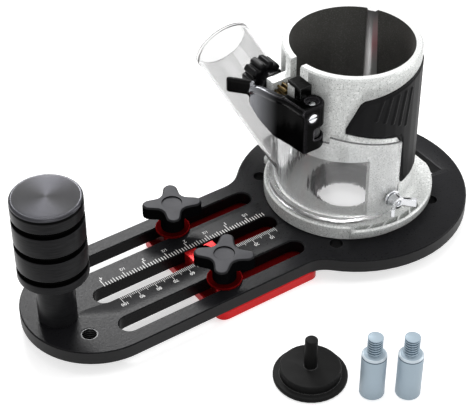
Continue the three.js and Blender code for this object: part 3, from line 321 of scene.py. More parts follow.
def ring_nodes(tree, given):
    dx, dy = from_axis(tree, given["Centre X"], given["Centre Y"])
    squares = math_node(tree, "ADD", times(tree, dx, dx), times(tree, dy, dy))
    turns = math_node(tree, "DIVIDE", math_node(tree, "SQRT", squares), given["Pitch"])
    uneven = tree.nodes.new("ShaderNodeTexNoise")
    uneven.noise_dimensions = "1D"
    uneven.inputs["Scale"].default_value = RING_NOISE
    tree.links.new(turns, uneven.inputs["W"])
    return {"Height": math_node(tree, "SINE", times(tree, turns, 2 * math.pi)),
            "Tone": uneven.outputs["Fac"]}


# Painted top light: a mask that is 1 on faces looking up, broken into cloudy patches.
def dust_nodes(tree, given):
    normal = apart(tree, tree.nodes.new("ShaderNodeNewGeometry").outputs["Normal"])
    up = math_node(tree, "POWER", math_node(tree, "MAXIMUM", normal["Z"], 0.0), given["Sharpness"])
    cloudy = spread(tree, noise(tree, object_point(tree), TOP_LIGHT_NOISE, 4.0), *TOP_LIGHT_RANGE)
    return {"Mask": times(tree, up, cloudy, True)}


# Painted highlight: two wedges about an upright axis, where lathe rings would catch the light.
def wedge_nodes(tree, given):
    dx, dy = from_axis(tree, given["Centre X"], given["Centre Y"])
    turn = minus(tree, math_node(tree, "ARCTAN2", dy, dx), given["Direction"])
    wedge = math_node(tree, "ABSOLUTE", math_node(tree, "COSINE", turn))
    return {"Mask": math_node(tree, "POWER", wedge, given["Sharpness"])}


def streak_nodes(tree, given):
    place = apart(tree, object_point(tree))
    gather = tree.nodes.new("ShaderNodeCombineXYZ")
    tree.links.new(place["X"], gather.inputs["X"])
    tree.links.new(place["Y"], gather.inputs["Y"])
    tree.links.new(times(tree, place["Z"], given["Stretch"]), gather.inputs["Z"])
    return {"Streak": noise(tree, gather.outputs[0], given["Scale"], 3.0)}


# Painted highlight along a part: a mask that rises from one place to another along Y.
def polish_nodes(tree, given):
    whole = minus(tree, given["To Y"], given["From Y"])
    share = ramped(tree, apart(tree, object_point(tree))["Y"], given["From Y"], whole)
    return {"Mask": math_node(tree, "POWER", share, LEVER_HIGHLIGHT_RISE)}


lathe_marks = new_group("lathe_marks", {"Centre X": 0.0, "Centre Y": 0.0, "Pitch": 0.0003}, ring_nodes)
painted_top_light = new_group("painted_top_light", {"Sharpness": 6.0}, dust_nodes)
painted_wedges = new_group("painted_wedges", {"Centre X": 0.0, "Centre Y": 0.0, "Direction": 0.0,
                                          "Sharpness": 3.0}, wedge_nodes)
drawn_streaks = new_group("drawn_streaks", {"Scale": 420.0, "Stretch": 0.08}, streak_nodes)
painted_lever_highlight = new_group("painted_lever_highlight", {"From Y": 0.0, "To Y": 0.01}, polish_nodes)

# %% [markdown]
# ## Finishes
# Nearly every finish here is the same recipe with other numbers: a base colour that the edge colour, smudges
# and on some parts a painted top light change a little, a roughness that the grain changes, and a fine bump.
# One function builds it, so all finishes stay comparable, and special ones add their own nodes afterwards.

# %% A finish from the shared effects
EDGE = 0.0006
UNWORN = (0.0, EDGE)


def placed(tree, group, **values):
    node = tree.nodes.new("ShaderNodeGroup")
    node.node_tree = group
    for label, value in values.items():
        node.inputs[label.replace("_", " ")].default_value = value
    return node.outputs


def mix_colour(tree, factor, a, b):
    node = tree.nodes.new("ShaderNodeMix")
    node.data_type = "RGBA"
    tree.links.new(factor, node.inputs["Factor"])
    feed(tree, a, node.inputs[6])
    feed(tree, b, node.inputs[7])
    return node.outputs[2]


def painted_over(made, mask, colour):
    """Mixes one more colour over a finish, where a mask is 1."""
    base = made.node_tree.nodes["Principled BSDF"].inputs["Base Color"]
    made.node_tree.links.new(mix_colour(made.node_tree, mask, base.links[0].from_socket, colour), base)


def bumped(tree, height, distance):
    """Lets a height push the normal in and out by a distance in metres."""
    bump = tree.nodes.get("Bump") or tree.nodes.new("ShaderNodeBump")
    bump.inputs["Distance"].default_value = distance
    tree.links.new(height, bump.inputs["Height"])
    tree.links.new(bump.outputs[0], tree.nodes["Principled BSDF"].inputs["Normal"])


def blank(name):
    made = bpy.data.materials.new(name)
    made.use_nodes = True
    return made, made.node_tree, made.node_tree.nodes["Principled BSDF"]


def finish(name, colour, edge_colour, roughness, metallic=0.0, specular=0.5, bumps=(2500.0, 0.00002), smudge=0.25,
           edge_mark=(0.5, EDGE), top_light=None):
    """A colour is (red, green, blue), or one number for a grey. Bumps are the scale and height of the grain.
    Edge mark is how strong the edge colour is, and how far in from the edges it reaches: wear on some
    finishes, a painted highlight line on others. Top light is a lighter colour painted on faces that look up,
    a painted top light."""
    colour, edge_colour, top_light = ((c,) * 3 if isinstance(c, float) else c for c in (colour, edge_colour, top_light))
    made, tree, shader = blank(name)
    shader.inputs["Metallic"].default_value = metallic
    shader.inputs["Specular IOR Level"].default_value = specular
    texture = placed(tree, grain, Scale=bumps[0])
    darker = tuple(c * (1 - smudge) for c in colour)
    lighter = tuple(min(1.0, c * (1 + smudge)) for c in colour)
    tone = mix_colour(tree, texture["Smudge"], darker, lighter)
    # Faces that look up get a lighter colour here: painted top light.
    if top_light:
        tone = mix_colour(tree, placed(tree, painted_top_light)["Mask"], tone, top_light)
    # The edge colour is wear on some finishes and a painted highlight line on others.
    rim = placed(tree, edge_wear_and_light, Amount=edge_mark[0], Radius=edge_mark[1])["Mask"]
    tree.links.new(mix_colour(tree, rim, tone, edge_colour), shader.inputs["Base Color"])
    tree.links.new(spread(tree, texture["Grain"], *roughness), shader.inputs["Roughness"])
    bumped(tree, texture["Grain"], bumps[1])
    return made


# %% [markdown]
# Most of the parts are black, and their gloss, grain and edges tell them apart. Their base colours are close
# together, so the roughness, the specular level and the edge colour do the work. Several add painted light: a
# lighter top, light lines on edges, a bright band on a crown, and painted shade in grooves and on knob sides.

# %% Black finishes
SATIN, SMOOTH, BRIGHT, PLATED = (3000.0, 0.00001), (1800.0, 0.00001), (1800.0, 0.000006), (2200.0, 0.000008)
# The plate's top takes painted top light, and its outer rim a lighter copy, painted light.
anodised = finish("black_anodised_finish", (0.003, 0.003, 0.0034), (0.09, 0.09, 0.095), (0.18, 0.44),
                  specular=0.085, bumps=(900.0, 0.00005), top_light=(0.012, 0.012, 0.0135))
anodised_lit_rim = finish("anodised_lit_rim_finish", (0.018, 0.018, 0.0185), 0.12, (0.40, 0.52), specular=0.12,
                       bumps=(3200.0, 0.00003))
# Painted shade for the handle's grooves, and a painted highlight band for its crown.
groove_painted_shade = finish("groove_painted_shade_finish", 0.0008, 0.01, (0.5, 0.6), specular=0.02, edge_mark=(0.1, EDGE))
crown_painted_highlight = finish("crown_painted_highlight_finish", (0.045, 0.045, 0.050), 0.2, (0.22, 0.30), metallic=1.0,
                     specular=0.3, bumps=(3000.0, 0.000005), edge_mark=(0.2, EDGE))
# Star knobs: a darker finish on the sides is painted shade, and the lighter top colour is painted top light.
knob_painted_shade = finish("knob_side_painted_shade_finish", (0.0030, 0.0030, 0.0034), (0.05, 0.05, 0.055), (0.30, 0.42),
                    specular=0.0, bumps=(1500.0, 0.00003), edge_mark=UNWORN)
knob_black = finish("knob_black_finish", (0.008, 0.008, 0.009), (0.10, 0.10, 0.105), (0.36, 0.50),
                    specular=0.08, bumps=(2600.0, 0.00003), edge_mark=(0.4, EDGE), top_light=(0.075, 0.075, 0.082))
dial_black = finish("dial_black_finish", (0.004, 0.004, 0.0045), 0.04, (0.24, 0.36), specular=0.10,
                    bumps=SMOOTH, edge_mark=(0.3, EDGE))
# The disc's light edge colour draws painted highlight rings, and its top takes painted top light.
disc_black = finish("disc_black_finish", 0.004, 0.16, (0.40, 0.55), specular=0.06, edge_mark=(1.0, 0.0008),
                    top_light=0.016)
# The pad's light edge colour is a painted highlight line.
pad_black = finish("gloss_pad_finish", 0.002, (0.40, 0.41, 0.41), (0.14, 0.22), specular=0.05,
                   bumps=SMOOTH, edge_mark=(0.7, 0.0004))
# The lever's light edge colour is a painted highlight line.
lever_black = finish("lever_black_finish", 0.0008, (0.22, 0.21, 0.23), (0.08, 0.14), specular=0.02,
                     bumps=(700.0, 0.00001), edge_mark=(1.5, 0.0012))
tab_black = finish("tab_black_finish", 0.0015, 0.06, (0.16, 0.26), specular=0.08, bumps=(900.0, 0.00001))
rubber = finish("grip_rubber_finish", (0.004, 0.004, 0.0045), (0.03, 0.03, 0.032), (0.42, 0.58),
                specular=0.10, bumps=(3600.0, 0.00003))
screw_black = finish("black_screw_finish", (0.02, 0.02, 0.022), 0.2, (0.3, 0.4), metallic=0.5)
print(len(bpy.data.materials), "materials so far")

# %% [markdown]
# Anodised red is a dye in bare metal, so it is about half metallic. Chrome, steel and brass are fully
# metallic, and dark rims on the chrome stand for what they mirror. Zinc plate is dull and mirrors little.

# %% Red and bare metals
red = finish("red_anodised_finish", (0.56, 0.010, 0.012), (0.85, 0.12, 0.12), (0.16, 0.30), metallic=0.5,
             specular=0.2, bumps=SATIN, smudge=0.12)
# The washers' red is darkened, a painted shade, and their bright red edge colour is a painted glint.
red_painted_shade_and_glint = finish("red_painted_shade_and_glint_finish", (0.060, 0.0010, 0.0014), (0.80, 0.03, 0.03), (0.34, 0.46), specular=0.0,
                  bumps=SATIN, edge_mark=(1.6, EDGE))
red_shade = finish("shaded_red_finish", (0.20, 0.003, 0.004), (0.6, 0.06, 0.06), (0.20, 0.34), metallic=0.4,
                   specular=0.15, bumps=SATIN, smudge=0.2)
chrome = finish("chrome_finish", (0.70, 0.71, 0.73), (0.05, 0.05, 0.055), (0.06, 0.14), metallic=1.0,
                bumps=BRIGHT, smudge=0.2, edge_mark=(1.3, 0.0007))
steel = finish("bright_steel_finish", (0.72, 0.73, 0.75), 0.9, (0.12, 0.24), metallic=1.0,
               bumps=BRIGHT, smudge=0.1)
zinc = finish("zinc_plate_finish", (0.42, 0.515, 0.59), (0.16, 0.24, 0.32), (0.42, 0.52), metallic=0.15,
              specular=0.2, bumps=PLATED, smudge=0.06, edge_mark=(0.9, EDGE))
# On the pins, a darker zinc is painted shade and a lighter zinc a painted highlight.
zinc_painted_shade = finish("zinc_painted_shade_finish", (0.06, 0.10, 0.14), (0.2, 0.25, 0.3), (0.35, 0.5), metallic=0.4,
                     specular=0.3, edge_mark=UNWORN)
zinc_painted_highlight = finish("zinc_painted_highlight_finish", (0.60, 0.68, 0.74), (0.8, 0.85, 0.9), (0.30, 0.42), metallic=0.3,
                    bumps=PLATED, smudge=0.06)
brass = finish("brass_finish", (0.05, 0.034, 0.014), (0.6, 0.45, 0.2), (0.2, 0.35), metallic=1.0, smudge=0.2)
thread_grey = finish("cut_thread_finish", (0.030, 0.030, 0.032), 0.09, (0.25, 0.35), metallic=0.6,
                     bumps=(2500.0, 0.00001))
machined = finish("machined_rim_finish", (0.80, 0.81, 0.80), 0.95, (0.22, 0.36), metallic=0.3,
                  bumps=(2200.0, 0.00001), smudge=0.05)
print(len(bpy.data.materials), "materials so far")

# %% [markdown]
# ## Painted casting
# The tube and flange are die-cast and sprayed with a silver paint that holds dark and bright specks. A plain
# grey would look like plastic, so the speckle group darkens and brightens small spots, and the same noise
# lifts them. The bore's wall has a darker finish with finer specks, which hardly show.

# %% Cast silver and the darker bore
cast = finish("cast_silver_finish", (0.72, 0.735, 0.72), (0.82, 0.83, 0.82), (0.36, 0.5), metallic=0.3,
              bumps=(1200.0, 0.00003), smudge=0.05, edge_mark=(0.6, 0.0008))
bore_dark = finish("bore_dark_finish", (0.082, 0.080, 0.074), 0.05, (0.40, 0.60), specular=0.25,
                   bumps=(1500.0, 0.00004), smudge=0.35, edge_mark=UNWORN)


def speckled(made, scale, cover, dark, bright, depth):
    """Mixes dark and bright specks into a finish, and lifts them by a bump."""
    spots = placed(made.node_tree, speckle, Scale=scale, Cover=cover)
    painted_over(made, spots["Dark"], dark)
    painted_over(made, spots["Bright"], bright)
    bumped(made.node_tree, spots["Height"], depth)
    print("speckle on", made.name)


speckled(cast, 1900.0, 0.48, (0.28, 0.29, 0.28), (0.86, 0.87, 0.86), 0.00003)
speckled(bore_dark, 3400.0, 0.50, (0.062, 0.061, 0.057), (0.112, 0.111, 0.106), 0.00001)

# %% [markdown]
# The key in the bore is bare metal. A ramp of tones along the height paints light on it, bright near its foot
# and dark near the top. Halfway up, one half of it has a warm tint, a painted reflection of the red parts
# that shine on it.

# %% Key in the bore
KEY_LOW, KEY_HIGH = 0.062, 0.112
KEY_PAINTED_LIGHT_TONES = ((0.0, (0.98, 0.98, 0.97)), (0.45, (0.95, 0.94, 0.94)),
             (0.75, (0.55, 0.54, 0.54)), (1.0, (0.16, 0.16, 0.16)))
KEY_WARM = (0.98, 0.50, 0.54)
WARM_EDGE, WARM_WIDTH = math.radians(31.5), math.radians(1.5)
WARM_LOW, WARM_RISE, WARM_HIGH, WARM_FALL = 0.30, 0.25, 0.9, 1 / 3
key_metal = finish("bore_key_finish", 0.5, 0.9, (0.18, 0.30), metallic=0.55, bumps=(2500.0, 0.00001),
                   edge_mark=UNWORN)
tree = key_metal.node_tree
ramp = tree.nodes.new("ShaderNodeValToRGB")
while len(ramp.color_ramp.elements) < len(KEY_PAINTED_LIGHT_TONES):
    ramp.color_ramp.elements.new(0.5)
for element, (position, tone) in zip(ramp.color_ramp.elements, KEY_PAINTED_LIGHT_TONES):
    element.position = position
    element.color = (*tone, 1)
share = ramped(tree, apart(tree, object_point(tree))["Z"], KEY_LOW, KEY_HIGH - KEY_LOW)
tree.links.new(share, ramp.inputs[0])
tree.links.new(ramp.outputs["Color"], tree.nodes["Principled BSDF"].inputs["Base Color"])
across, along = from_axis(tree, bore_axis.x, bore_axis.y)
one_half = ramped(tree, math_node(tree, "ARCTAN2", along, across), WARM_EDGE, -WARM_WIDTH)
band = times(tree, ramped(tree, share, WARM_LOW, WARM_RISE), ramped(tree, share, WARM_HIGH, -WARM_FALL))
painted_over(key_metal, times(tree, one_half, band), KEY_WARM)
print("tones on", key_metal.name)

# %% [markdown]
# ## Turned handle
# A lathe leaves fine rings on the handle knob's face, and they stretch the light into a bright wedge on each
# side of the middle. The shader's anisotropy with a radial tangent gives that wedge, and a painted highlight,
# two lighter wedges in the base colour, adds to it. The rings themselves are a small bump and a change of
# tone. The knob's side has the same marks as faint level bands.

# %% Lathe-turned black
RING_PITCH, RING_DEPTH, PAINTED_WEDGE_DIRECTION, ANISOTROPY = 0.00045, 0.000004, math.radians(50), 0.97
RING_TONE, PAINTED_WEDGE_TONE, BAND_TONE = (0.0035, 0.0035, 0.004), (0.0105, 0.0105, 0.0125), (0.028, 0.028, 0.030)
turned_black = finish("turned_black_finish", (0.0016, 0.0016, 0.0019), (0.20, 0.20, 0.21), (0.20, 0.26),
                      metallic=1.0, specular=0.4, bumps=(3000.0, RING_DEPTH), edge_mark=(0.8, EDGE))
tree = turned_black.node_tree
shader = tree.nodes["Principled BSDF"]
shader.inputs["Anisotropic"].default_value = ANISOTROPY
tangent = tree.nodes.new("ShaderNodeTangent")
tangent.direction_type, tangent.axis = "RADIAL", "Z"
tree.links.new(tangent.outputs[0], shader.inputs["Tangent"])
handle_axis = to_frame @ Vector((HANDLE_X, 0, 0))
centre = {"Centre_X": handle_axis.x, "Centre_Y": handle_axis.y}
rings = placed(tree, lathe_marks, **centre, Pitch=RING_PITCH)
bumped(tree, rings["Height"], RING_DEPTH)
painted_over(turned_black, rings["Tone"], RING_TONE)
# Two lighter wedges in the base colour: a painted highlight.
painted_wedge = placed(tree, painted_wedges, **centre, Direction=PAINTED_WEDGE_DIRECTION)
painted_over(turned_black, painted_wedge["Mask"], PAINTED_WEDGE_TONE)

turned_side = finish("turned_side_finish", (0.0045, 0.0045, 0.005), (0.10, 0.10, 0.105), (0.26, 0.38),
                     specular=0.08, bumps=SMOOTH)
tree = turned_side.node_tree
bands = placed(tree, drawn_streaks, Scale=160.0, Stretch=14.0)["Streak"]
painted_over(turned_side, math_node(tree, "POWER", bands, 2.0), BAND_TONE)
print("rings on", turned_black.name, "and bands on", turned_side.name)

# %% [markdown]
# ## Clear plastic
# The dust cover and its pipe are clear polycarbonate. Real wall thickness plus full transmission gives the
# bright edges and the slightly bent view through it. Moulded sheet is never quite flat or quite clear:
# faint upright streaks, a shallow wave and a little milkiness keep it from looking like optical glass. The
# edges look greyer, because there one looks along the wall.

# %% Clear plastic
CLEAR_IOR, EDGE_BLEND, CLEAR_ROUGHNESS, WAVE_SCALE = 1.45, 0.2, (0.0, 0.16), 90.0


def clear_plastic(name, tint, edge_tint, clearness, wave_height):
    made, tree, shader = blank(name)
    shader.inputs["Transmission Weight"].default_value = clearness
    shader.inputs["IOR"].default_value = CLEAR_IOR
    streaks = placed(tree, drawn_streaks)["Streak"]
    waves = placed(tree, grain, Scale=WAVE_SCALE)["Grain"]
    facing = tree.nodes.new("ShaderNodeLayerWeight")
    facing.inputs["Blend"].default_value = EDGE_BLEND
    tree.links.new(mix_colour(tree, facing.outputs["Facing"], tint, edge_tint), shader.inputs["Base Color"])
    tree.links.new(spread(tree, streaks, *CLEAR_ROUGHNESS), shader.inputs["Roughness"])
    bumped(tree, math_node(tree, "ADD", waves, streaks), wave_height)
    return made


clear = clear_plastic("clear_cover_finish", (0.995, 0.995, 0.998), (0.88, 0.88, 0.90), 0.94, 0.00009)
clear_tube = clear_plastic("clear_pipe_finish", (0.71, 0.71, 0.71), (0.40, 0.40, 0.40), 0.88, 0.00002)
print("clear plastics made")

# %% [markdown]
# The lever is glossy black plastic. Towards its outer end a painted highlight grows, a lighter grey base
# colour and a rising metallic mirror, so that end shows more light than the part near the hinge.

# %% Painted highlight on the lever
LEVER_HIGHLIGHT_FROM, LEVER_HIGHLIGHT_TO = (to_frame @ Vector((0, y, 0)) for y in (-5, 16))
LEVER_HIGHLIGHT_TONE = (0.27, 0.276, 0.294)
tree = lever_black.node_tree
lever_highlight = placed(tree, painted_lever_highlight, From_Y=LEVER_HIGHLIGHT_FROM.y, To_Y=LEVER_HIGHLIGHT_TO.y)["Mask"]
painted_over(lever_black, lever_highlight, LEVER_HIGHLIGHT_TONE)
tree.links.new(lever_highlight, tree.nodes["Principled BSDF"].inputs["Metallic"])
print("polish on", lever_black.name)

# %% [markdown]
# ## Helpers for meshes
# Every piece comes from bmesh in drawing millimetres. `keep` carries it into the frame, shades it smooth up
# to a sharp angle, gives it its finish, hangs it on the body that carries it, and hides the imported node it
# stands for.

# %% Keeping a piece
SHARP = math.radians(32)
made_pieces = {}


def keep(name, bm, material, body, nodes=(), sharp=SHARP, extra=()):
    mesh = bpy.data.meshes.new(name)
    bmesh.ops.recalc_face_normals(bm, faces=bm.faces)
    bm.to_mesh(mesh)
    bm.free()
    mesh.transform(to_frame)
    for finish_used in (material, *extra):
        mesh.materials.append(finish_used)
    mesh.polygons.foreach_set("use_smooth", [True] * len(mesh.polygons))
    mesh.set_sharp_from_angle(angle=sharp)
    piece = in_scene(name, mesh)
    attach(piece, body)
    if nodes:
        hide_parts(*nodes)
    made_pieces[name] = len(mesh.polygons)
    print(f"{name}: {len(mesh.polygons)} faces")


def soften(profile, radius, steps=4, closed=False):
    """Rounds the corners of a 2-D line with small arcs, never past the middle of a side."""
    points = [Vector(p) for p in profile]
    count, out = len(points), []
    for i, corner in enumerate(points):
        if not closed and i in (0, count - 1):
            out.append(corner)
            continue
        before, after = points[i - 1] - corner, points[(i + 1) % count] - corner
        turn = before.angle(after)
        if turn > math.radians(172):
            out.append(corner)
            continue
        cut = min(radius / math.tan(turn / 2), 0.48 * before.length, 0.48 * after.length)
        start, end = corner + before.normalized() * cut, corner + after.normalized() * cut
        for k in range(steps + 1):
            t = k / steps
            out.append(start * (1 - t) ** 2 + corner * 2 * t * (1 - t) + end * t ** 2)
    return out


def around(x, y, radius, turn, height):
    return x + radius * math.cos(turn), y + radius * math.sin(turn), height


def ring(radius, height, sides, x, y):
    """Points of a circle about an upright axis."""
    return [around(x, y, radius, 2 * math.pi * k / sides, height) for k in range(sides)]


def skinned(rings, closed=False, capped=False):
    """Joins each ring of points to the next with faces. A ring may be a single point."""
    bm = bmesh.new()
    loops = [[bm.verts.new(point) for point in points] for points in rings]
    for a, b in zip(loops, loops[1:] + (loops[:1] if closed else [])):
        sides = max(len(a), len(b))
        for k in range(sides):
            n = (k + 1) % sides
            corners = tuple(dict.fromkeys((a[k % len(a)], a[n % len(a)], b[n % len(b)], b[k % len(b)])))
            if len(corners) > 2:
                bm.faces.new(corners)
    if capped:
        bm.faces.new(loops[0])
        bm.faces.new(loops[-1][::-1])
        bmesh.ops.recalc_face_normals(bm, faces=bm.faces)
    return bm


def turned(profile, sides, x, y, closed=False):
    """Spins a line of (radius, height) about an upright axis. From axis to axis it gives a closed solid."""
    return skinned([ring(radius, height, sides, x, y) if radius > 1e-6 else [(x, y, height)]
                    for radius, height in profile], closed)


print("helpers ready")

# %% [markdown]
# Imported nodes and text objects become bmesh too. A moulded part is remeshed in small even cubes and then
# smoothed, which rounds every edge and fillets every inside corner at once.

# %% Packed, joined and moulded meshes
MERGE, FLAT = 2e-3, math.radians(0.8)


def as_shown(holder):
    """The mesh that an object shows. The object itself is removed."""
    made = bpy.data.meshes.new_from_object(holder.evaluated_get(bpy.context.evaluated_depsgraph_get()))
    bm = bmesh.new()
    bm.from_mesh(made)
    bpy.data.objects.remove(holder)
    bpy.data.meshes.remove(made)
    return bm


def joined(*parts):
    whole = parts[0]
    for part in parts[1:]:
        spare = bpy.data.meshes.new("spare")
        part.to_mesh(spare)
        whole.from_mesh(spare)
        part.free()
        bpy.data.meshes.remove(spare)
    return whole


def from_cad(node):
    """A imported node's mesh in drawing millimetres, with its split corners joined and flat faces whole."""
    bm = bmesh.new()
    bm.from_mesh(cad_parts[node].data)
    bm.transform(to_drawing)
    bmesh.ops.remove_doubles(bm, verts=bm.verts, dist=MERGE)
    bmesh.ops.dissolve_limit(bm, angle_limit=FLAT, verts=bm.verts, edges=bm.edges)
    return bm


def moulded(bm, voxel, rounds):
    mesh = bpy.data.meshes.new("work")
    bm.to_mesh(mesh)
    bm.free()
    holder = in_scene("work", mesh)
    remesh = holder.modifiers.new("remesh", "REMESH")
    remesh.mode, remesh.voxel_size = "VOXEL", voxel
    smooth = holder.modifiers.new("smooth", "SMOOTH")
    smooth.factor, smooth.iterations = 0.5, rounds
    return as_shown(holder)


print("moulding helpers ready")

# %% [markdown]
# ## Handle
# The handle is one long bar of turned aluminium: a thick grooved knob on a plain post. Spinning a profile
# is how the real one is made, so it is also how it is modelled. All corners get a small radius that catches
# the light.

# %% Handle knob and post
KNOB_RADIUS, KNOB_LOW, KNOB_HEIGHT = 17.5, 28.8, 47.0
GROOVE_LOW, GROOVE_PITCH, GROOVE_WIDTH, GROOVE_DEPTH, GROOVES, GROOVE_DRAFT = 5.3, 14.7, 3.6, 2.6, 3, 0.35
KNOB_BORE, KNOB_BORE_DEPTH = 4.0, 30.0
CROWN, CROWN_SHADE, CROWN_WIDTH, CROWN_START = 1.7, 2.9, 2.2, 3
profile = [(KNOB_BORE, KNOB_LOW), (KNOB_RADIUS - 1.0, KNOB_LOW), (KNOB_RADIUS, KNOB_LOW + 1.0)]
for i in range(GROOVES):
    z = KNOB_LOW + GROOVE_LOW + i * GROOVE_PITCH
    floor_radius, end = KNOB_RADIUS - GROOVE_DEPTH, z + GROOVE_WIDTH
    profile += [(KNOB_RADIUS, z), (floor_radius, z + GROOVE_DRAFT), (floor_radius, end - GROOVE_DRAFT),
                (KNOB_RADIUS, end)]
top = KNOB_LOW + KNOB_HEIGHT
side_line = soften(profile + [(KNOB_RADIUS, top), (0, top)], 0.35)
side_line = [p for p in side_line if p[1] < top - CROWN_START - 0.01]
crown = soften([(KNOB_RADIUS, top - CROWN_START), (KNOB_RADIUS, top), (KNOB_RADIUS - 4, top)], 2.0, 10)
flat_top = [(KNOB_RADIUS - 5, top), (KNOB_BORE, top), (0, top)]
inside = [(0, KNOB_LOW + KNOB_BORE_DEPTH), (KNOB_BORE, KNOB_LOW + KNOB_BORE_DEPTH)]
knob = turned(inside + side_line + crown + flat_top, 144, HANDLE_X, 0)
# The outer crown takes a painted highlight band, and the grooves and the band under the crown take painted
# shade.
for face in knob.faces:
    centre = face.calc_center_median()
    reach = math.hypot(centre.x - HANDLE_X, centre.y)
    if centre.z > top - CROWN:
        face.material_index = 3 if reach > KNOB_RADIUS - CROWN_WIDTH else 1
    elif centre.z > top - CROWN_SHADE or reach < KNOB_RADIUS - 0.5:
        face.material_index = 2
keep("handle_knob_turned", knob, turned_side, "base", ["handle_knob"],
     extra=[turned_black, groove_painted_shade, crown_painted_highlight])

POST_RADIUS, POST_LOW, POST_TOP = 9.7, 0.3, 28.5
post_line = [(KNOB_BORE, POST_LOW), (POST_RADIUS, POST_LOW), (POST_RADIUS, POST_TOP), (KNOB_BORE, POST_TOP)]
post = turned(soften(post_line, 0.3, closed=True), 96, HANDLE_X, 0, closed=True)
keep("handle_post_turned", post, turned_side, "base", ["handle_post"])

# %% [markdown]
# ## Plate, fence and small hardware from the imported solids
# Their shapes are already exact, so the imported meshes are kept. The plate and fence keep their imported
# edges, and the smaller parts only get a soft rim where a hand would feel one: a real edge is never razor
# sharp, and the thin line of light on it is what makes metal look like metal.

# %% Machined pieces
EDGE_ANGLE = math.radians(25)
STEEP = 0.5


def machined_piece(node, material, body, edge, extra=(), steps=2, paint=None, rim=0):
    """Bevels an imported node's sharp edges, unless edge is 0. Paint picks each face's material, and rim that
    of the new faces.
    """
    bm = from_cad(node)
    if paint:
        for face in bm.faces:
            face.material_index = paint(face.calc_center_median(), face.normal)
    if edge:
        rims = [e for e in bm.edges if e.is_manifold and e.calc_face_angle(0) > EDGE_ANGLE]
        bmesh.ops.bevel(bm, geom=rims, offset=edge, segments=steps, profile=0.6, affect="EDGES",
                        clamp_overlap=True, material=rim)
    keep(node + "_finished", bm, material, body, [node], extra=extra)


HEAD_RADIUS, HEAD_X, NECK_X, ARM_HALF, ARM_END_X = 63.0, 4.2, -40.0, 38.4, -156.5


def plate_surface(centre, normal):
    """The outer rim of the plate gets a lighter copy of its finish, a painted light."""
    if centre.x < ARM_END_X:
        rim = math.hypot(centre.x - ARM_END_X, centre.y) > ARM_HALF - 1
    elif centre.x < NECK_X:
        rim = abs(centre.y) > ARM_HALF - 4
    else:
        rim = math.hypot(centre.x - HEAD_X, centre.y) > HEAD_RADIUS - 1
    return 1 if rim and abs(normal.z) < STEEP else 0


def fence_surface(centre, normal):
    """The fence's top lies in the shade of the plate, so its red is darker."""
    return 1 if normal.z > 0.9 else 0


machined_piece("base_plate", anodised, "base", 0, extra=[anodised_lit_rim],
               paint=plate_surface)
machined_piece("fence_plate", red, "fence", 0, extra=[red_shade], paint=fence_surface)
machined_piece("cursor_block", red, "fence", 0.8, steps=4)
machined_piece("clamp_pad", pad_black, "base", 0.5, steps=4)
machined_piece("centring_disc", disc_black, "base", 0.35)
for side in ("front", "back"):
    machined_piece(f"stud_washer_{side}", red_painted_shade_and_glint, "fence", 0.35, steps=3)

# %% [markdown]
# The casting comes out of its die with the same paint all over, and then three places change: the lathe cuts
# the rim bare, the bore's wall is darker, and the key takes painted light and a painted reflection. One mesh
# with four materials says so, and a face's place decides which it takes.

# %% Router casting
BORE_RADIUS, TUBE_TOP, KEY_ANGLE, KEY_HALF_ANGLE, KEY_FOOT = 32.3, 95.5, 33.0, 8.5, 40
NEAR = 0.12


def casting_surface(centre, normal):
    radius = math.hypot(centre.x, centre.y)
    angle = math.degrees(math.atan2(centre.y, centre.x))
    if centre.z > TUBE_TOP - NEAR and normal.z > 0.9:
        return 1
    if radius < BORE_RADIUS - NEAR and abs(angle - KEY_ANGLE) < KEY_HALF_ANGLE and centre.z > KEY_FOOT:
        return 3
    if radius < BORE_RADIUS + NEAR and abs(normal.z) < STEEP:
        return 2
    return 0


machined_piece("router_casting", cast, "base", 0, extra=[machined, bore_dark, key_metal],
               paint=casting_surface)

# %% [markdown]
# ## Star knobs, lever and other moulded parts
# Moulded plastic has no sharp edge anywhere, because plastic shrinks and a mould needs radii. Where a part
# is simple, as a star knob is, a bevel is enough.

# %% Star knobs and their studs


def knob_surface(centre, normal):
    """Painted top light lies on the top of a star knob, and its sides take painted shade."""
    return 1 if normal.z < 0.35 else 0


for side in ("front", "back"):
    machined_piece(f"star_knob_{side}", knob_black, f"{side}_star_knob", 0.55, steps=3,
                   extra=[knob_painted_shade], paint=knob_surface, rim=-1)
    machined_piece(f"clamp_stud_{side}", steel, "fence", 0.2)

# %% [markdown]
# The cam lever is one flowing shield: straight from its heel, curved round the ears, then flared outward
# past the adjuster, with a rounded rail along its upper edge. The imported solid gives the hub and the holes.
# A loft through a few cross-sections gives the flowing outside, and the voxel remesh melts both into one
# skin.

# %% Cam lever
# Each row: outer x, inner x, y, lower edge, upper edge
SHIELD = (
    (-46.9, -44.4, -23.6, 57.5, 84.0), (-47.6, -44.6, -18.0, 57.5, 84.0), (-48.3, -45.0, -12.0, 57.5, 84.0),
    (-49.2, -45.6, -7.5, 57.5, 83.7), (-50.2, -46.7, -2.5, 57.7, 82.6), (-50.8, -47.4, 3.0, 59.4, 81.8),
    (-51.6, -48.2, 7.0, 61.4, 81.5), (-52.5, -49.5, 10.5, 64.4, 81.3), (-53.4, -50.6, 13.2, 67.8, 80.2),
    (-53.8, -51.2, 14.6, 70.4, 77.4),
)
RAIL_RADIUS, RAIL_WIDTH, LEVER_VOXEL, LEVER_ROUNDS, TAB_FROM_Y = 2.2, 2.31, 0.32, 14, 13.6


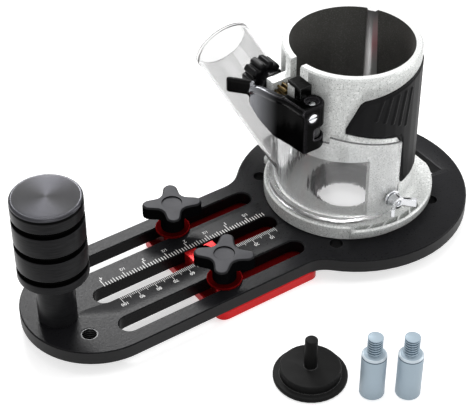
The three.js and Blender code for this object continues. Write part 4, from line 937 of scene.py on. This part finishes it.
def blended(rows, steps):
    """Catmull-Rom curve through rows of numbers."""
    table, out = np.array([rows[0], *rows, rows[-1]]), []
    for before, a, b, after in zip(table, table[1:], table[2:], table[3:]):
        for k in range(steps):
            t = k / steps
            out.append(0.5 * (2 * a + (b - before) * t + (2 * before - 5 * a + 4 * b - after) * t ** 2
                              + (3 * a - before - 3 * b + after) * t ** 3))
    return out + [table[-1]]


shield_rows = blended(SHIELD, 6)
shield = skinned([[(inner, y, low), (outer, y, low), (outer, y, high), (inner, y, high)]
                  for outer, inner, y, low, high in shield_rows], capped=True)
circle = [(math.cos(a), math.sin(a)) for a in np.linspace(0, 2 * math.pi, 16, endpoint=False)]
rail = skinned([[((outer + inner) / 2 + RAIL_WIDTH * across, y, high - RAIL_RADIUS * (1 - up))
                 for across, up in circle] for outer, inner, y, low, high in shield_rows], capped=True)
lever = moulded(joined(from_cad("cam_lever"), shield, rail), LEVER_VOXEL, LEVER_ROUNDS)
for face in lever.faces:
    face.material_index = 1 if face.calc_center_median().y > TAB_FROM_Y else 0
keep("cam_lever_moulded", lever, lever_black, "clamp_lever", ["cam_lever"], sharp=math.pi,
     extra=[tab_black])

# %% [markdown]
# The height dial and the wing screw have flowing shapes too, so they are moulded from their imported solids.
# The small turned parts beside them only need a bevel.

# %% Dial, wing screw and the small parts beside them
dial = moulded(from_cad("depth_knob"), 0.34, 16)
keep("depth_knob_moulded", dial, dial_black, "depth_adjuster", ["depth_knob"], sharp=math.pi)
wing = moulded(from_cad("wing_screw"), 0.2, 4)
keep("wing_screw_forged", wing, chrome, "cover_screw", ["wing_screw"], sharp=math.pi)
machined_piece("depth_collar", dial_black, "base", 0.25)
machined_piece("depth_pinion", brass, "depth_adjuster", 0.15)
machined_piece("lever_set_screw", steel, "clamp_lever", 0.2)
machined_piece("lever_pivot_pin", steel, "base", 0.2)
machined_piece("wing_washer", steel, "base", 0.15)

# %% [markdown]
# The rubber grips are ribbed. One round of smoothing takes off the hard edges, and more would melt the ribs.

# %% Rubber grips
for side in ("front", "back"):
    grip = moulded(from_cad(f"grip_{side}"), 0.42, 1)
    keep(f"grip_{side}_moulded", grip, rubber, "base", [f"grip_{side}"], sharp=math.pi)

# %% [markdown]
# ## Dust cover and pipe
# Clear plastic shows every flaw in a mesh, because light bends at each face. So the cover is not taken from
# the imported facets: it is swept anew, as one cross-section carried around the tube in steps of one degree,
# with a rounded lip at the flange and a sloping top edge.

# %% Dust cover
COVER_INNER, COVER_OUTER, COVER_START, COVER_END, CLEAR_SHARP = 36.4, 38.5, 83, 277, math.radians(40)
COVER_FOOT, LIP_RADIUS, LIP_HEIGHT, LIP_END, LIP_FADE = 8.8, 42.4, 2.6, 228, 36
COVER_TOP, COVER_SLOPE, NOTCH_TOP, NOTCH_START, NOTCH_END = 53.8, 0.23, 57.2, 188, 217


def cover_section(angle):
    turn = math.radians(angle)
    top_height = COVER_TOP - COVER_SLOPE * COVER_OUTER * math.cos(turn)
    if NOTCH_START <= angle <= NOTCH_END:
        top_height = min(top_height, NOTCH_TOP)
    reach = LIP_RADIUS - COVER_OUTER
    if angle > LIP_END:
        reach *= max(0.02, 1 - (angle - LIP_END) / LIP_FADE)
    rim = COVER_OUTER + reach
    line = [(COVER_INNER, COVER_FOOT), (rim - 0.5, COVER_FOOT), (rim, COVER_FOOT + 0.5),
            (rim, COVER_FOOT + LIP_HEIGHT - 0.9), (rim - min(0.9, reach * 0.5), COVER_FOOT + LIP_HEIGHT)]
    fillet = min(2.0, reach * 0.5)
    for k in range(6):
        t = math.radians(15 * (k + 1))
        line.append((COVER_OUTER + fillet * (1 - math.sin(t)),
                     COVER_FOOT + LIP_HEIGHT + fillet * (1 - math.cos(t))))
    base = COVER_FOOT + LIP_HEIGHT + 2.1
    line += [(COVER_OUTER, base + (top_height - 0.8 - base) * k / 12) for k in range(13)]
    line += [(COVER_OUTER - 0.25, top_height - 0.2), (COVER_OUTER - 0.8, top_height),
             (COVER_INNER + 0.6, top_height), (COVER_INNER, top_height - 0.5)]
    line += [(COVER_INNER, top_height - 0.8 - (top_height - 0.8 - base) * k / 12) for k in range(13)]
    return [around(0, 0, radius, turn, height) for radius, height in line]


columns = [float(v) for v in range(COVER_START, COVER_END + 1)]
columns += [NOTCH_START - 0.1, NOTCH_END + 0.1]
cover = skinned([cover_section(angle) for angle in sorted(columns)], capped=True)
keep("dust_cover_shell", cover, clear, "base", ["dust_cover"], sharp=CLEAR_SHARP)

# %% [markdown]
# The pipe slopes up and away from the cover, so its lower end follows the cover's round wall. Each line
# along the pipe starts where it meets that wall.

# %% Dust pipe
PIPE_AT, PIPE_RISE, PIPE_LENGTH = Vector((-20.0, 30.0, 31.0)), math.radians(20.5), 62.5
PIPE_RADIUS, PIPE_WALL, PIPE_LIP, PIPE_LIP_LENGTH = 16.5, 1.7, 0.8, 2.0
PIPE_CLEAR, PIPE_SIDES, PIPE_STEPS = COVER_OUTER + 0.3, 96, 20


def pipe_point(radius, turn, reach):
    """A point at a share of the length, which starts where the pipe meets the cover."""
    x, rise = PIPE_AT.x + radius * math.cos(turn), radius * math.sin(turn)
    y = math.sqrt(PIPE_CLEAR ** 2 - x * x)
    start = (y - PIPE_AT.y + rise * math.sin(PIPE_RISE)) / math.cos(PIPE_RISE)
    along = start + (PIPE_LENGTH - start) * reach
    return (x, PIPE_AT.y + along * math.cos(PIPE_RISE) - rise * math.sin(PIPE_RISE),
            PIPE_AT.z + along * math.sin(PIPE_RISE) + rise * math.cos(PIPE_RISE))


lip_share, pipe_inner = 1 - PIPE_LIP_LENGTH / PIPE_LENGTH, PIPE_RADIUS - PIPE_WALL
pipe_line = [(PIPE_RADIUS, k / PIPE_STEPS * lip_share) for k in range(PIPE_STEPS + 1)]
pipe_line += [(PIPE_RADIUS + PIPE_LIP, lip_share + 0.004), (PIPE_RADIUS + PIPE_LIP, 0.996),
              (PIPE_RADIUS, 1.0), (pipe_inner + 0.3, 1.0), (pipe_inner, 0.99)]
pipe_line += [(pipe_inner, 0.99 * (1 - k / PIPE_STEPS)) for k in range(1, PIPE_STEPS + 1)]
turns = [2 * math.pi * k / PIPE_SIDES for k in range(PIPE_SIDES)]
rings = [[pipe_point(radius, turn, reach) for turn in turns] for radius, reach in pipe_line]
pipe = skinned(rings, closed=True)
keep("dust_pipe_tube", pipe, clear_tube, "base", ["dust_pipe"], sharp=CLEAR_SHARP)

# %% [markdown]
# ## Threads
# A thread is a groove that climbs by one pitch each turn. A grid of points around the axis can follow it:
# the radius at each point depends on its height minus its share of a turn. This shows a true helix, not
# rings.

# %% Threaded surfaces
THREAD_PITCH, THREAD_RUNOUT, THREAD_SIDES, THREAD_SHARP = 1.5, 0.6, 64, math.radians(50)


def threaded(rows, x, y, thread_low, thread_high, depth):
    """Rings from (radius, height) rows, with a helical groove between two heights."""
    rings = []
    for radius, height in rows:
        points = []
        for k in range(THREAD_SIDES):
            turn = k / THREAD_SIDES
            cut = 0.0
            if thread_low <= height <= thread_high:
                share = ((height - thread_low) / THREAD_PITCH - turn) % 1.0
                ease = min(height - thread_low, thread_high - height) / THREAD_RUNOUT
                cut = depth * min(1.0, ease) * abs(2 * share - 1)
            points.append(around(x, y, radius - cut, 2 * math.pi * turn, height))
        rings.append(points)
    return rings


print("thread pitch", THREAD_PITCH, "mm")

# %% [markdown]
# The guide pins are zinc-plated, with a fine groove and a chamfer at the shoulder. The material of each face
# follows from its height: painted shade in the groove and deep in the thread, a painted highlight on the
# chamfer.

# %% Guide pins
FLOOR_Z = (-bore_axis.z) / MM
PIN_RADIUS, PIN_HEIGHT, NECK_RADIUS, NECK_HEIGHT, STUD_RADIUS, STUD_HEIGHT = 6.1, 26.0, 3.1, 1.2, 3.75, 36.6
PIN_CHAMFER, PIN_GROOVE, STUD_END, THREAD_STEP, THREAD_DEPTH, THREAD_FLOOR = 0.9, 1.6, 0.4, 0.11, 0.75, 0.34
for side, (x, y) in {"back": (-73.7, -117.7), "front": (-59.5, -127.5)}.items():
    shoulder = FLOOR_Z + PIN_HEIGHT
    line = [(PIN_RADIUS - 0.5, FLOOR_Z), (PIN_RADIUS, FLOOR_Z + 0.5), (PIN_RADIUS, shoulder - PIN_GROOVE),
            (PIN_RADIUS - 0.12, shoulder - 1.25), (PIN_RADIUS, shoulder - PIN_CHAMFER),
            (PIN_RADIUS - PIN_CHAMFER, shoulder), (NECK_RADIUS + 0.2, shoulder),
            (NECK_RADIUS, shoulder + 0.2), (NECK_RADIUS, shoulder + NECK_HEIGHT)]
    low, high = shoulder + NECK_HEIGHT, FLOOR_Z + STUD_HEIGHT
    count = round((high - low) / THREAD_STEP)
    line += [(STUD_RADIUS, low + (high - STUD_END - low) * i / count) for i in range(count + 1)]
    line += [(STUD_RADIUS - 0.7, high)]
    pin = skinned(threaded(line, x, y, low, high - STUD_END, THREAD_DEPTH), capped=True)
    for face in pin.faces:
        centre = face.calc_center_median()
        away = math.hypot(centre.x - x, centre.y - y)
        deep = away < STUD_RADIUS - THREAD_FLOOR
        if deep and shoulder + 0.1 < centre.z < high - 0.3:
            face.material_index = 1
        elif shoulder - PIN_CHAMFER < centre.z < shoulder - 0.01:
            face.material_index = 2
        elif shoulder - PIN_GROOVE < centre.z < shoulder - PIN_CHAMFER:
            face.material_index = 1
    keep(f"guide_pin_{side}_threaded", pin, zinc, "base", [f"guide_pin_{side}"],
         sharp=THREAD_SHARP, extra=[zinc_painted_shade, zinc_painted_highlight])

# %% [markdown]
# The plate's two threaded holes are lined with a thin sleeve, whose inner side carries the same helix.

# %% Threaded inserts of the plate
THREAD_HOLE_X, THREAD_HOLE_Y, THREAD_HOLE_RADIUS = -171.8, 19.7, 4.4
INSERT_LOW, INSERT_HEIGHT, INSERT_WALL, INSERT_ROWS, INSERT_DEPTH = -7.6, 7.3, 0.7, 70, 0.6
for side, y in {"front": -THREAD_HOLE_Y, "back": THREAD_HOLE_Y}.items():
    rows = [(THREAD_HOLE_RADIUS - INSERT_WALL, INSERT_LOW + INSERT_HEIGHT * i / INSERT_ROWS)
            for i in range(INSERT_ROWS + 1)]
    rings = threaded(rows, THREAD_HOLE_X, y, -7.5, -0.4, -INSERT_DEPTH)
    rings += [ring(THREAD_HOLE_RADIUS - 0.02, height, THREAD_SIDES, THREAD_HOLE_X, y)
              for height in (-0.3, INSERT_LOW)]
    keep(f"thread_insert_{side}", skinned(rings, closed=True), thread_grey, "base",
         sharp=THREAD_SHARP)

# %% [markdown]
# ## Printed scale
# The white millimetre and inch scales are screen-printed beside the middle slot. Each tick is a thin slab
# that stands a few hundredths of a millimetre proud, so it is real geometry. The zero of both scales is the
# same point, and the numbers come from Blender's own font, turned into meshes.

# %% Ticks
SCALE_ZERO, SCALE_EDGE, MM_LAST, INCH_LAST = -46.47, 5.5, 100, 64
PRINT_LOW, PRINT_HIGH, LINE_HALF = -0.03, 0.05, 0.12
INCH, INCH_LINE_HALF, INCH_PARTS = 25.4, 0.2, 16
MM_LENGTHS = ((10, 4.8), (5, 3.5), (1, 2.3))
INCH_LENGTHS = ((16, 5.6), (8, 4.2), (4, 3.3), (1, 2.6))
printed = finish("printed_white_finish", (0.80, 0.80, 0.79), 0.9, (0.5, 0.6), bumps=(3000.0, 0.00002),
                 smudge=0.12, edge_mark=UNWORN)


def add_tick(bm, x, y0, y1, half):
    corners = [(x + sx * half, y, z) for z in (PRINT_LOW, PRINT_HIGH)
               for sx, y in ((-1, y0), (1, y0), (1, y1), (-1, y1))]
    verts = [bm.verts.new(c) for c in corners]
    for a, b, c, d in ((0, 1, 2, 3), (7, 6, 5, 4), (0, 4, 5, 1), (1, 5, 6, 2), (2, 6, 7, 3), (3, 7, 4, 0)):
        bm.faces.new((verts[a], verts[b], verts[c], verts[d]))


def tick_length(number, lengths):
    """The length that belongs to the roundest step a number falls on."""
    return next(length for step, length in lengths if number % step == 0)


ticks = bmesh.new()
for m in range(5, MM_LAST + 1):
    length = tick_length(m, MM_LENGTHS)
    add_tick(ticks, SCALE_ZERO - m, -SCALE_EDGE, -SCALE_EDGE - length, LINE_HALF)
for k in range(2, INCH_LAST + 1):
    length, place = tick_length(k, INCH_LENGTHS), SCALE_ZERO - k * INCH / INCH_PARTS
    add_tick(ticks, place, SCALE_EDGE, SCALE_EDGE + length, INCH_LINE_HALF)
keep("scale_ticks", ticks, printed, "base")

# %% Numbers
LABEL_SIZE, HALF_SIZE, WHOLE_SIZE = 2.8, 0.9, 1.15
LABEL_Y, INCH_LABEL_Y, INCH_SHIFT = -11.4, 11.8, 1.2


def number_mesh(text, x, y, size):
    letter = bpy.data.curves.new("number", "FONT")
    letter.body, letter.size, letter.extrude = text, size, (PRINT_HIGH - PRINT_LOW) / 2
    letter.align_x, letter.align_y = "CENTER", "CENTER"
    letter.offset = 0.02
    bm = as_shown(in_scene("number", letter))
    bpy.data.curves.remove(letter)
    bm.transform(Matrix.Translation((x, y, (PRINT_LOW + PRINT_HIGH) / 2)) @ Matrix.Rotation(math.pi, 4, "Z"))
    return bm


labels = [number_mesh(str(m), SCALE_ZERO - m, LABEL_Y, LABEL_SIZE) for m in range(10, MM_LAST + 1, 10)]
for k in range(1, 2 * INCH_LAST // INCH_PARTS + 1):
    place = SCALE_ZERO - k * INCH / 2 + INCH_SHIFT
    if k % 2:
        labels.append(number_mesh("1/2", place, INCH_LABEL_Y, LABEL_SIZE * HALF_SIZE))
    else:
        labels.append(number_mesh(str(k // 2), place, INCH_LABEL_Y, LABEL_SIZE * WHOLE_SIZE))
keep("scale_numbers", joined(*labels), printed, "base")

# %% [markdown]
# ## Small parts and the end
# Screws, the nut and the shaft are small or hidden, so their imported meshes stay, and only get a finish.

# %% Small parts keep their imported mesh
BASE_SCREWS = [f"base_screw_{end}_{side}" for end in ("near", "far") for side in ("front", "back")]
STEEL_PARTS = (*BASE_SCREWS, "handle_screw", "clamp_nut", "depth_shaft")
BLACK_PARTS = ("clamp_bolt", "cursor_screw")
for material, names in ((steel, STEEL_PARTS), (screw_black, BLACK_PARTS)):
    for node in names:
        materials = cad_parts[node].data.materials
        materials.clear()
        materials.append(material)
    print(material.name, "on", len(names), "packed nodes")

# %% Sizes and the closing line
print("faces in all:", sum(made_pieces.values()))
